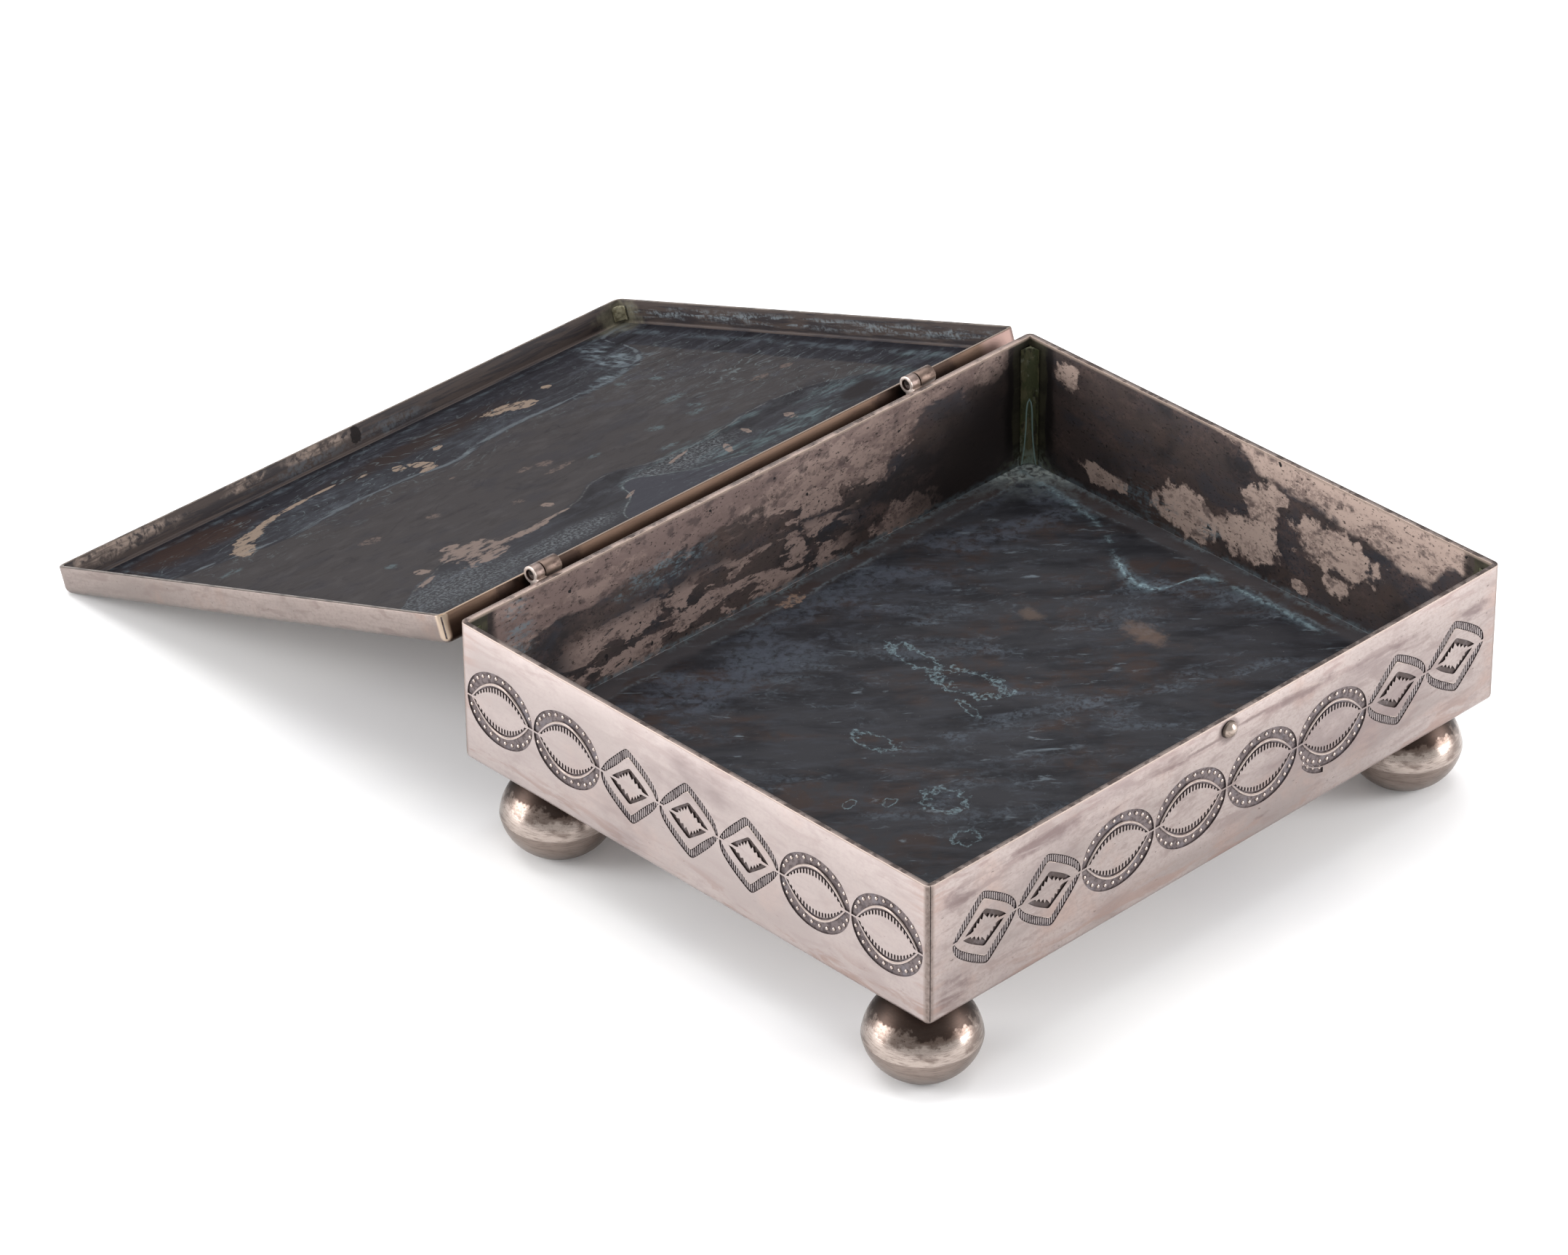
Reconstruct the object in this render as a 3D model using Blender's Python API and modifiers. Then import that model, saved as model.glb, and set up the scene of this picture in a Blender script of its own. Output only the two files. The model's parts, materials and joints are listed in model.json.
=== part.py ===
"""Silver box: a folded tray with stamped walls on four ball feet, with a hinged tray lid.

The lid is modelled thrown right back, past flat, so that its outer edge rests on the table.
Units are metres, +Z is up, the hinge runs along X and the front wall faces -Y.
The world origin is the middle of the footprint of the open box, on the table.
"""

import math

import bmesh
import bpy
from mathutils import Matrix

MM = 0.001

# Clearances between pieces that touch or run in each other, and the modelling tolerances
SEAT_GAP = 0.3 * MM
RUNNING_GAP = 0.1 * MM
CUT_OVERRUN = 1.0 * MM
WELD_DISTANCE = 0.003 * MM
AXIS_MERGE_DISTANCE = 0.01 * MM

# Tray: one sheet folded up into four walls
BOX_LENGTH = 158.0 * MM
BOX_DEPTH = 127.8 * MM
WALL_HEIGHT = 31.2 * MM
BOX_SHEET = 1.2 * MM
BOX_CORNER_RADIUS = 1.6 * MM
BOX_FOLD_RADIUS = 1.5 * MM

# Lid: the same kind of tray, shallow, a little larger than the box
LID_SIDE_OVERHANG = 0.6 * MM
LID_FRONT_OVERHANG = 1.2 * MM
LID_HEIGHT = 6.3 * MM
LID_SHEET = 1.0 * MM
LID_CORNER_RADIUS = 2.0 * MM
LID_FOLD_RADIUS = 1.8 * MM
ARC_SEGMENTS = 3

# Ball feet: two raised domes soldered at the waist, flat above and below
FOOT_HEIGHT = 17.5 * MM
FOOT_RADIUS = 11.6 * MM
FOOT_WAIST_HEIGHT = 7.9 * MM
FOOT_TOP_FILED = 1.05 * MM
FOOT_BOTTOM_FILED = 1.15 * MM
FOOT_SHEET = 0.8 * MM
FOOT_SIDES = 24
FOOT_ARC_SEGMENTS = 5

# The feet were set by eye, each at its own distance from the end and from the long wall
FRONT_LEFT_FOOT_FROM_END = 8.0 * MM
FRONT_LEFT_FOOT_FROM_WALL = 9.5 * MM
FRONT_RIGHT_FOOT_FROM_END = 13.0 * MM
FRONT_RIGHT_FOOT_FROM_WALL = 11.5 * MM
BACK_LEFT_FOOT_FROM_END = 10.0 * MM
BACK_LEFT_FOOT_FROM_WALL = 16.0 * MM
BACK_RIGHT_FOOT_FROM_END = 12.5 * MM
BACK_RIGHT_FOOT_FROM_WALL = 14.0 * MM
FOOT_INSETS = {
    "front_left": (FRONT_LEFT_FOOT_FROM_END, FRONT_LEFT_FOOT_FROM_WALL),
    "front_right": (FRONT_RIGHT_FOOT_FROM_END, FRONT_RIGHT_FOOT_FROM_WALL),
    "back_left": (BACK_LEFT_FOOT_FROM_END, BACK_LEFT_FOOT_FROM_WALL),
    "back_right": (BACK_RIGHT_FOOT_FROM_END, BACK_RIGHT_FOOT_FROM_WALL),
}

# Hinges: a short knuckle on the box, a longer one on the lid and a pin through both
LEFT_HINGE_FROM_END = 24.3 * MM
RIGHT_HINGE_FROM_END = 30.2 * MM
KNUCKLE_RADIUS = 2.2 * MM
BOX_KNUCKLE_LENGTH = 2.4 * MM
LID_KNUCKLE_LENGTH = 4.2 * MM
PIN_RADIUS = 1.0 * MM
PIN_RECESS = 0.4 * MM
LEAF_HEIGHT = 3.2 * MM
KNUCKLE_SIDES = 24

# Bead on the front wall, just under the rim
BEAD_RADIUS = 1.9 * MM
BEAD_STAND_OUT = 1.6 * MM
BEAD_BELOW_RIM = 2.4 * MM
BEAD_FROM_MIDDLE = 1.0 * MM
BEAD_SIDES = 16
BEAD_RINGS = 8

# Solder run down the inside of the folded corners
BOX_SOLDER_LEG = 3.0 * MM
BOX_SOLDER_BELOW_RIM = 2.0 * MM
LID_SOLDER_LEG = 2.4 * MM
LID_SOLDER_BELOW_RIM = 1.2 * MM
SOLDER_EDGE = 0.25 * MM
SOLDER_ARC_SEGMENTS = 5

# Stamped row: ovals of two crescents, diamonds of two chevrons
ROW_HEIGHT = 16.2 * MM
ROW_MIDDLE = 15.5 * MM
LONG_WALL_MARGIN = 6.0 * MM
SHORT_WALL_MARGIN = 1.4 * MM
STAMP_DEPTH = 0.35 * MM
STRIKE_GAP = 0.5 * MM
CRESCENT_BAND = 2.3 * MM
CRESCENT_TIP = 0.9 * MM
CHEVRON_BAND = 2.2 * MM
CHEVRON_TIP = 1.2 * MM
HEART_FROM_ENDS = 2.3 * MM
HEART_FROM_SIDES = 4.2 * MM
HEART_BAND = 1.3 * MM
HEART_TIP = 1.8 * MM
LONG_WALL_ROW = "DDOOOODD"
SHORT_WALL_ROW = "OODDDOO"
OVAL_LENGTH_SHARE = 1.17
CHEVRON_BOW_SHARE = 0.55
CRESCENT_SEGMENTS = 8

# Sizes that follow from the ones above
LID_LENGTH = BOX_LENGTH + 2 * LID_SIDE_OVERHANG
LID_DEPTH = BOX_DEPTH + LID_FRONT_OVERHANG
RIM_HEIGHT = FOOT_HEIGHT + WALL_HEIGHT
FLOOR_TOP = FOOT_HEIGHT + BOX_SHEET
AXIS_OFFSET = KNUCKLE_RADIUS + SEAT_GAP
AXIS_Y = BOX_DEPTH / 2 + AXIS_OFFSET
AXIS_Z = RIM_HEIGHT + SEAT_GAP / 2
BORE_RADIUS = PIN_RADIUS + RUNNING_GAP
HINGE_MIDDLES = {
    "left": LEFT_HINGE_FROM_END - BOX_LENGTH / 2,
    "right": BOX_LENGTH / 2 - RIGHT_HINGE_FROM_END,
}

CORNERS = {
    "front_left": (-1, -1, 0),
    "front_right": (1, -1, 1),
    "back_right": (1, 1, 2),
    "back_left": (-1, 1, 3),
}


def lid_slope():
    """Angle below level at which the lid's rounded outer edge meets the table."""
    reach = AXIS_OFFSET + LID_DEPTH - LID_FOLD_RADIUS
    drop = SEAT_GAP / 2 + LID_HEIGHT - LID_FOLD_RADIUS
    fall = AXIS_Z - LID_FOLD_RADIUS
    return math.asin(fall / math.hypot(reach, drop)) - math.atan2(drop, reach)


def footprint_middle():
    """Middle of the open box's extent in X and Y, measured from the tray's own middle."""
    slope = lid_slope()
    lows = [(-LID_LENGTH / 2, -BOX_DEPTH / 2 - BEAD_STAND_OUT)]
    highs = [(LID_LENGTH / 2, 0)]
    for corner, (inset_x, inset_y) in FOOT_INSETS.items():
        side_x, side_y, _ = CORNERS[corner]
        middle_x = side_x * (BOX_LENGTH / 2 - inset_x)
        middle_y = side_y * (BOX_DEPTH / 2 - inset_y)
        lows.append((middle_x - FOOT_RADIUS, middle_y - FOOT_RADIUS))
        highs.append((middle_x + FOOT_RADIUS, middle_y + FOOT_RADIUS))
    reach = AXIS_OFFSET + LID_DEPTH
    lid_edge = AXIS_Y + reach * math.cos(slope) - SEAT_GAP / 2 * math.sin(slope)
    low_x = min(x for x, _ in lows)
    low_y = min(y for _, y in lows)
    high_x = max(x for x, _ in highs)
    return (low_x + high_x) / 2, (low_y + lid_edge) / 2


def clear_scene():
    for item in list(bpy.data.objects):
        bpy.data.objects.remove(item, do_unlink=True)


def make_collection(name):
    collection = bpy.data.collections.new(name)
    bpy.context.scene.collection.children.link(collection)
    return collection


def make_material(name, colour, roughness):
    material = bpy.data.materials.new(name)
    material.use_nodes = True
    shader = material.node_tree.nodes["Principled BSDF"]
    shader.inputs["Base Color"].default_value = (*colour, 1.0)
    shader.inputs["Roughness"].default_value = roughness
    shader.inputs["Metallic"].default_value = 1.0
    return material


def make_empty(name, location, tilt=0.0, parent=None):
    empty = bpy.data.objects.new(name, None)
    empty.location = location
    empty.rotation_euler = (tilt, 0, 0)
    empty.parent = parent
    PARTS.objects.link(empty)
    return empty


def add_object(name, data, material=None, parent=None, location=(0, 0, 0), turn=(0, 0, 0)):
    piece = bpy.data.objects.new(name, data)
    piece.location = location
    piece.rotation_euler = turn
    piece.parent = parent
    if material:
        data.materials.append(material)
        PARTS.objects.link(piece)
    else:
        CUTTERS.objects.link(piece)
        piece.hide_render = True
        piece.display_type = "WIRE"
    return piece


def mesh_from(bm, name):
    mesh = bpy.data.meshes.new(name)
    bm.to_mesh(mesh)
    bm.free()
    return mesh


def shade(piece, angle=math.radians(35)):
    piece.data.shade_smooth()
    piece.data.set_sharp_from_angle(angle=angle)


def block_mesh(name, low, high):
    """Box between two corners, from the cube primitive."""
    bm = bmesh.new()
    bmesh.ops.create_cube(bm, size=1.0)
    for vertex in bm.verts:
        for axis in range(3):
            middle = (low[axis] + high[axis]) / 2
            vertex.co[axis] = middle + vertex.co[axis] * (high[axis] - low[axis])
    return mesh_from(bm, name)


def rod_mesh(name, radius, start, end, sides, bevel=0.0):
    """Round bar along X between two stations, with its end edges eased."""
    bm = bmesh.new()
    bmesh.ops.create_cone(bm, cap_ends=True, segments=sides, radius1=radius, radius2=radius,
                          depth=end - start)
    if bevel:
        rims = [edge for edge in bm.edges if any(len(f.verts) == sides for f in edge.link_faces)]
        bmesh.ops.bevel(bm, geom=rims, offset=bevel, segments=1, affect="EDGES")
    bmesh.ops.rotate(bm, verts=bm.verts, matrix=Matrix.Rotation(math.pi / 2, 3, "Y"))
    bmesh.ops.translate(bm, verts=bm.verts, vec=((start + end) / 2, 0, 0))
    return mesh_from(bm, name)


def outline_curve(name, outlines, half_thickness):
    """Flat outlines filled and thickened to both sides of their plane."""
    curve = bpy.data.curves.new(name, "CURVE")
    curve.dimensions = "2D"
    curve.fill_mode = "BOTH"
    curve.extrude = half_thickness
    for points in outlines:
        spline = curve.splines.new("POLY")
        spline.points.add(len(points) - 1)
        for point, (x, y) in zip(spline.points, points):
            point.co = (x, y, 0, 1)
        spline.use_cyclic_u = True
    return curve


def solid_from_curve(curve, name):
    """Mesh of a filled curve with its loose caps welded on."""
    holder = bpy.data.objects.new(name, curve)
    bpy.context.scene.collection.objects.link(holder)
    evaluated = holder.evaluated_get(bpy.context.evaluated_depsgraph_get())
    mesh = bpy.data.meshes.new_from_object(evaluated)
    bpy.data.objects.remove(holder, do_unlink=True)
    bm = bmesh.new()
    bm.from_mesh(mesh)
    bmesh.ops.remove_doubles(bm, verts=bm.verts, dist=WELD_DISTANCE)
    bmesh.ops.recalc_face_normals(bm, faces=bm.faces)
    bm.to_mesh(mesh)
    bm.free()
    return mesh


def turned(name, profile, sides, material, parent, location):
    """Solid turned about Z from a profile whose two ends lie on the axis."""
    mesh = bpy.data.meshes.new(name)
    points = [(x, 0, z) for x, z in profile]
    edges = [(i, i + 1) for i in range(len(points) - 1)]
    mesh.from_pydata(points, edges, [])
    piece = add_object(name, mesh, material, parent, location)
    screw = piece.modifiers.new("turn", "SCREW")
    screw.axis = "Z"
    screw.steps = sides
    screw.render_steps = sides
    screw.use_merge_vertices = True
    screw.merge_threshold = AXIS_MERGE_DISTANCE
    screw.use_smooth_shade = True
    return piece


def cut(piece, cutter, operation="DIFFERENCE"):
    boolean = piece.modifiers.new(operation.lower(), "BOOLEAN")
    boolean.operation = operation
    boolean.solver = "EXACT"
    boolean.object = cutter


def folded_tray(name, size, sheet, corner_radius, fold_radius, material, parent, location, turn):
    """Open tray: a bottom and four walls of one sheet, open towards local +Z from z = 0."""
    length, depth, height = size
    bm = bmesh.new()
    bmesh.ops.create_cube(bm, size=1.0)
    bmesh.ops.translate(bm, verts=bm.verts, vec=(0, 0, 0.5))
    bmesh.ops.scale(bm, verts=bm.verts, vec=(length, depth, height))
    mouth = [face for face in bm.faces if face.normal.z > 0.5]
    bmesh.ops.delete(bm, geom=mouth, context="FACES_ONLY")
    upright = [e for e in bm.edges if abs(e.verts[0].co.z - e.verts[1].co.z) > height / 2]
    bmesh.ops.bevel(bm, geom=upright, offset=corner_radius, segments=ARC_SEGMENTS, profile=0.5,
                    affect="EDGES")
    folds = [e for e in bm.edges if e.verts[0].co.z + e.verts[1].co.z < height / 2]
    folds = [e for e in folds if len(e.link_faces) == 2]
    folds = [e for e in folds if abs(e.verts[0].co.z - e.verts[1].co.z) < height / 2]
    bmesh.ops.bevel(bm, geom=folds, offset=fold_radius, segments=ARC_SEGMENTS, profile=0.5,
                    affect="EDGES")
    piece = add_object(name, mesh_from(bm, name), material, parent, location, turn)
    wall = piece.modifiers.new("sheet", "SOLIDIFY")
    wall.thickness = sheet
    wall.offset = -1.0
    wall.use_even_offset = True
    wall.use_quality_normals = True
    return piece


def arc_points(radius_x, radius_y, start, end, segments, middle=(0, 0)):
    points = []
    for i in range(segments + 1):
        angle = start + (end - start) * i / segments
        points.append((middle[0] + radius_x * math.cos(angle), middle[1] + radius_y * math.sin(angle)))
    return points


def crescent_outline(length, side):
    """One crescent strike: outer arc, and a flatter inner arc that leaves narrow tips."""
    half = length / 2 - STRIKE_GAP / 2
    rise = ROW_HEIGHT / 2 - STRIKE_GAP / 2
    outer = arc_points(half, rise, 0, math.pi, CRESCENT_SEGMENTS)
    inner = arc_points(half - CRESCENT_TIP, rise - CRESCENT_BAND, math.pi, 0, CRESCENT_SEGMENTS)
    return [(x, side * (y + STRIKE_GAP / 2)) for x, y in outer + inner]


def chevron_outline(length, height, band, tip, side):
    """One chevron strike: a bent band, narrow at its tips, its outer sides a little bowed."""
    half = length / 2 - STRIKE_GAP / 2
    rise = height / 2 - STRIKE_GAP / 2
    inner_half = half - tip
    inner_rise = rise - band
    bow_x = half * CHEVRON_BOW_SHARE
    bow_y = rise * CHEVRON_BOW_SHARE
    outer = [(half, 0), (bow_x, bow_y), (0, rise), (-bow_x, bow_y), (-half, 0)]
    inner = [(-inner_half, 0), (0, inner_rise), (inner_half, 0)]
    return [(x, side * (y + STRIKE_GAP / 2)) for x, y in outer + inner]


def row_outlines(kinds, wall_length, margin):
    """Outlines of a whole stamped row, centred on the wall's middle."""
    shares = [OVAL_LENGTH_SHARE if kind == "O" else 1.0 for kind in kinds]
    unit = (wall_length - 2 * margin) / sum(shares)
    heart_length = unit - 2 * HEART_FROM_ENDS
    heart_height = ROW_HEIGHT - 2 * HEART_FROM_SIDES
    station = -wall_length / 2 + margin
    outlines = []
    for kind, share in zip(kinds, shares):
        length = unit * share
        middle = station + length / 2
        station += length
        strikes = []
        for side in (1, -1):
            if kind == "O":
                strikes.append(crescent_outline(length, side))
            else:
                strikes.append(chevron_outline(length, ROW_HEIGHT, CHEVRON_BAND, CHEVRON_TIP, side))
                strikes.append(chevron_outline(heart_length, heart_height, HEART_BAND, HEART_TIP, side))
        for strike in strikes:
            outlines.append([(x + middle, y) for x, y in strike])
    return outlines


def stamp_walls(tray):
    """Strike the row into the outer face of each wall."""
    half_punch = (STAMP_DEPTH + CUT_OVERRUN) / 2
    face_lift = (CUT_OVERRUN - STAMP_DEPTH) / 2
    rows = {
        "long": (LONG_WALL_ROW, BOX_LENGTH, LONG_WALL_MARGIN, BOX_DEPTH / 2 + face_lift),
        "short": (SHORT_WALL_ROW, BOX_DEPTH, SHORT_WALL_MARGIN, BOX_LENGTH / 2 + face_lift),
    }
    walls = {"front": ("long", 0), "right": ("short", 1), "back": ("long", 2), "left": ("short", 3)}
    for wall, (row, quarter) in walls.items():
        kinds, wall_length, margin, distance = rows[row]
        curve = outline_curve("row_" + wall, row_outlines(kinds, wall_length, margin), half_punch)
        mesh = solid_from_curve(curve, "row_" + wall)
        angle = quarter * math.pi / 2
        location = (distance * math.sin(angle), -distance * math.cos(angle), FOOT_HEIGHT + ROW_MIDDLE)
        punch = add_object("row_" + wall, mesh, None, tray.parent, location, (math.pi / 2, 0, angle))
        cut(tray, punch)


def make_tray():
    tray = folded_tray("box_tray", (BOX_LENGTH, BOX_DEPTH, WALL_HEIGHT), BOX_SHEET, BOX_CORNER_RADIUS,
                       BOX_FOLD_RADIUS, SHEET, BOX_FRAME, (0, 0, FOOT_HEIGHT), (0, 0, 0))
    stamp_walls(tray)
    shade(tray)


def make_lid():
    middle = (0, -AXIS_OFFSET - LID_DEPTH / 2, SEAT_GAP / 2 + LID_HEIGHT)
    lid = folded_tray("lid_tray", (LID_LENGTH, LID_DEPTH, LID_HEIGHT), LID_SHEET, LID_CORNER_RADIUS,
                      LID_FOLD_RADIUS, SHEET, LID_FRAME, middle, (math.pi, 0, 0))
    shade(lid)


def solder_outline(leg, corner_radius):
    """Concave fillet that fills a rounded inner corner, clear of both walls."""
    hollow = leg - SEAT_GAP - SOLDER_EDGE
    heel = max(corner_radius - SEAT_GAP, SOLDER_EDGE)
    middle = heel + SEAT_GAP
    back = arc_points(heel, heel, math.pi, 1.5 * math.pi, ARC_SEGMENTS, (middle, middle))
    front = arc_points(hollow, hollow, -math.pi / 2, -math.pi, SOLDER_ARC_SEGMENTS, (leg, leg))
    return back + [(leg, SEAT_GAP)] + front + [(SEAT_GAP, leg)]


def make_corner_solder():
    """Solder runs in the four inner corners of the tray and of the lid."""
    low = FLOOR_TOP + max(BOX_FOLD_RADIUS - BOX_SHEET, SEAT_GAP)
    high = RIM_HEIGHT - BOX_SOLDER_BELOW_RIM
    box_outline = solder_outline(BOX_SOLDER_LEG, BOX_CORNER_RADIUS - BOX_SHEET)
    box_curve = outline_curve("box_solder", [box_outline], (high - low) / 2)
    lid_low = SEAT_GAP / 2 + LID_SOLDER_BELOW_RIM
    lid_high = SEAT_GAP / 2 + LID_HEIGHT - LID_SHEET - max(LID_FOLD_RADIUS - LID_SHEET, SEAT_GAP)
    lid_outline = solder_outline(LID_SOLDER_LEG, LID_CORNER_RADIUS - LID_SHEET)
    lid_curve = outline_curve("lid_solder", [lid_outline], (lid_high - lid_low) / 2)
    lid_middle_y = -AXIS_OFFSET - LID_DEPTH / 2
    for corner, (side_x, side_y, quarter) in CORNERS.items():
        turn = (0, 0, quarter * math.pi / 2)
        inner_x = side_x * (BOX_LENGTH / 2 - BOX_SHEET)
        inner_y = side_y * (BOX_DEPTH / 2 - BOX_SHEET)
        mesh = solid_from_curve(box_curve, "box_solder_" + corner)
        piece = add_object("box_solder_" + corner, mesh, SOLDER, BOX_FRAME,
                           (inner_x, inner_y, (low + high) / 2), turn)
        shade(piece)
        inner_x = side_x * (LID_LENGTH / 2 - LID_SHEET)
        inner_y = lid_middle_y + side_y * (LID_DEPTH / 2 - LID_SHEET)
        mesh = solid_from_curve(lid_curve, "lid_solder_" + corner)
        piece = add_object("lid_solder_" + corner, mesh, SOLDER, LID_FRAME,
                           (inner_x, inner_y, (lid_low + lid_high) / 2), turn)
        shade(piece)


def dome_profile(seat, filed):
    """Outer and inner line of a dome above its seam plane, its crown filed off flat at the seat."""
    rise = seat + filed
    outer_end = math.asin(seat / rise)
    inner_end = math.asin((seat - FOOT_SHEET) / (rise - FOOT_SHEET))
    inner_radius = FOOT_RADIUS - FOOT_SHEET
    outer = arc_points(FOOT_RADIUS, rise, outer_end, 0, FOOT_ARC_SEGMENTS)
    inner = arc_points(inner_radius, rise - FOOT_SHEET, 0, inner_end, FOOT_ARC_SEGMENTS)
    return [(0, seat)] + outer + inner + [(0, seat - FOOT_SHEET)]


def make_feet():
    half_seam = SEAT_GAP / 2
    upper = dome_profile(FOOT_HEIGHT - SEAT_GAP - FOOT_WAIST_HEIGHT - half_seam, FOOT_TOP_FILED)
    lower = dome_profile(FOOT_WAIST_HEIGHT - half_seam, FOOT_BOTTOM_FILED)
    lower = [(x, -z) for x, z in reversed(lower)]
    for corner, (inset_x, inset_y) in FOOT_INSETS.items():
        side_x, side_y, _ = CORNERS[corner]
        x = side_x * (BOX_LENGTH / 2 - inset_x)
        y = side_y * (BOX_DEPTH / 2 - inset_y)
        top = turned("foot_" + corner + "_upper_dome", upper, FOOT_SIDES, BALL, BOX_FRAME,
                     (x, y, FOOT_WAIST_HEIGHT + half_seam))
        bottom = turned("foot_" + corner + "_lower_dome", lower, FOOT_SIDES, BALL, BOX_FRAME,
                        (x, y, FOOT_WAIST_HEIGHT - half_seam))
        shade(top)
        shade(bottom)


def make_bead():
    """Round bead with a flat back, soldered to the front wall."""
    bm = bmesh.new()
    bmesh.ops.create_uvsphere(bm, u_segments=BEAD_SIDES, v_segments=BEAD_RINGS, radius=BEAD_RADIUS)
    sink = BEAD_RADIUS - BEAD_STAND_OUT
    halves = bmesh.ops.bisect_plane(bm, geom=bm.verts[:] + bm.edges[:] + bm.faces[:],
                                    plane_co=(0, -sink - SEAT_GAP, 0), plane_no=(0, 1, 0),
                                    clear_outer=True)
    rim = [item for item in halves["geom_cut"] if isinstance(item, bmesh.types.BMEdge)]
    bmesh.ops.contextual_create(bm, geom=rim)
    bmesh.ops.recalc_face_normals(bm, faces=bm.faces)
    location = (BEAD_FROM_MIDDLE, -BOX_DEPTH / 2 + sink, RIM_HEIGHT - BEAD_BELOW_RIM)
    bead = add_object("catch_bead", mesh_from(bm, "catch_bead"), BALL, BOX_FRAME, location)
    shade(bead)


def make_knuckle(name, start, end, leaf_side, parent, location):
    """Tube along X with a leaf that reaches down the wall it is soldered to."""
    mesh = rod_mesh(name, KNUCKLE_RADIUS, start, end, KNUCKLE_SIDES)
    knuckle = add_object(name, mesh, KNUCKLE, parent, location)
    leaf_low = (start, -KNUCKLE_RADIUS, min(0, leaf_side * LEAF_HEIGHT))
    leaf_high = (end, 0, max(0, leaf_side * LEAF_HEIGHT))
    leaf = add_object(name + "_leaf", block_mesh(name + "_leaf", leaf_low, leaf_high), None, parent,
                      location)
    cut(knuckle, leaf, "UNION")
    bore_mesh = rod_mesh(name + "_bore", BORE_RADIUS, start - CUT_OVERRUN, end + CUT_OVERRUN,
                         KNUCKLE_SIDES)
    bore = add_object(name + "_bore", bore_mesh, None, parent, location)
    cut(knuckle, bore)
    shade(knuckle)


def make_hinges():
    length = BOX_KNUCKLE_LENGTH + SEAT_GAP + LID_KNUCKLE_LENGTH
    for side, middle in HINGE_MIDDLES.items():
        start = middle - length / 2
        joint = start + BOX_KNUCKLE_LENGTH
        end = middle + length / 2
        on_box = (0, AXIS_Y, AXIS_Z)
        make_knuckle("hinge_" + side + "_box_knuckle", start, joint, -1, BOX_FRAME, on_box)
        make_knuckle("hinge_" + side + "_lid_knuckle", joint + SEAT_GAP, end, 1, LID_FRAME, (0, 0, 0))
        pin_mesh = rod_mesh("hinge_" + side + "_pin", PIN_RADIUS, start + PIN_RECESS, end - PIN_RECESS,
                            KNUCKLE_SIDES, RUNNING_GAP)
        pin = add_object("hinge_" + side + "_pin", pin_mesh, PIN, BOX_FRAME, on_box)
        shade(pin)


clear_scene()
PARTS = make_collection("silver_box")
CUTTERS = make_collection("cutters")

SHEET = make_material("silver_sheet", (0.56, 0.49, 0.46), 0.34)
BALL = make_material("silver_ball", (0.50, 0.43, 0.39), 0.24)
SOLDER = make_material("silver_solder", (0.16, 0.15, 0.09), 0.55)
KNUCKLE = make_material("hinge_tube", (0.24, 0.17, 0.12), 0.38)
PIN = make_material("hinge_wire", (0.42, 0.39, 0.37), 0.32)

MIDDLE_X, MIDDLE_Y = footprint_middle()
BOX_FRAME = make_empty("box_frame", (-MIDDLE_X, -MIDDLE_Y, 0))
LID_FRAME = make_empty("lid_frame", (0, AXIS_Y, AXIS_Z), -math.pi - lid_slope(), BOX_FRAME)

make_tray()
make_corner_solder()
make_feet()
make_bead()
make_lid()
make_hinges()
print("open angle", round(math.degrees(math.pi + lid_slope()), 3))
print("footprint middle in mm", round(MIDDLE_X / MM, 3), round(MIDDLE_Y / MM, 3))
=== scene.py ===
import json
import math

import bmesh
import bpy
from mathutils import Matrix, Vector


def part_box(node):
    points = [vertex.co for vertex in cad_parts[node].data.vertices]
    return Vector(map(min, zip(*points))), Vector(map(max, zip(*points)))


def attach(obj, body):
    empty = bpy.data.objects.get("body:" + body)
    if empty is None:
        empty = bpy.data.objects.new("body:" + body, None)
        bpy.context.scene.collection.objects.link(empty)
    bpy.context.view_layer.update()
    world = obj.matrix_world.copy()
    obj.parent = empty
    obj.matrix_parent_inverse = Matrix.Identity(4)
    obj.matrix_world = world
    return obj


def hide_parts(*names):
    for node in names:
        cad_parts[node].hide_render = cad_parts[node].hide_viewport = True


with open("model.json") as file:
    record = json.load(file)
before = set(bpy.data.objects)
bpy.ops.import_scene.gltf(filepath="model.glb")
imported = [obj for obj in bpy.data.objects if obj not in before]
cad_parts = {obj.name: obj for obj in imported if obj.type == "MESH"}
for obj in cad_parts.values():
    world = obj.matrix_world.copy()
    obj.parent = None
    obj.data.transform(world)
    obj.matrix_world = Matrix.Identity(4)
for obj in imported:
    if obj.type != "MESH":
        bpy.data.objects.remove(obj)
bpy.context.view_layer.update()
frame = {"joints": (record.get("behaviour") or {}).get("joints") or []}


# The walls and floor of the box: one sheet of silver, its four sides folded up and soldered at the corners.
# Outside it is worn pale and pinkish; inside, the tarnish of years was never polished away.
MM = 0.001
box_low, box_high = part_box("box_tray")
box_middle = (box_low + box_high) / 2
box_size = box_high - box_low
box_sheet = 1.2 * MM
box_corner = 1.4 * MM
box_fold = 1.3 * MM
rim_ease = 0.16 * MM
arc_steps = 6


def let_go():
    """Back to object mode with nothing selected."""
    if bpy.context.object and bpy.context.object.mode != "OBJECT":
        bpy.ops.object.mode_set(mode="OBJECT")
    bpy.ops.object.select_all(action="DESELECT")


def take(*pieces):
    """Selects these pieces alone, the first one active."""
    let_go()
    for piece in pieces:
        piece.select_set(True)
    bpy.context.view_layer.objects.active = pieces[0]


def take_all_of(piece):
    """Selects the whole mesh of a piece, and stays in edit mode."""
    take(piece)
    bpy.ops.object.mode_set(mode="EDIT")
    bpy.ops.mesh.select_all(action="SELECT")


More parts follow.
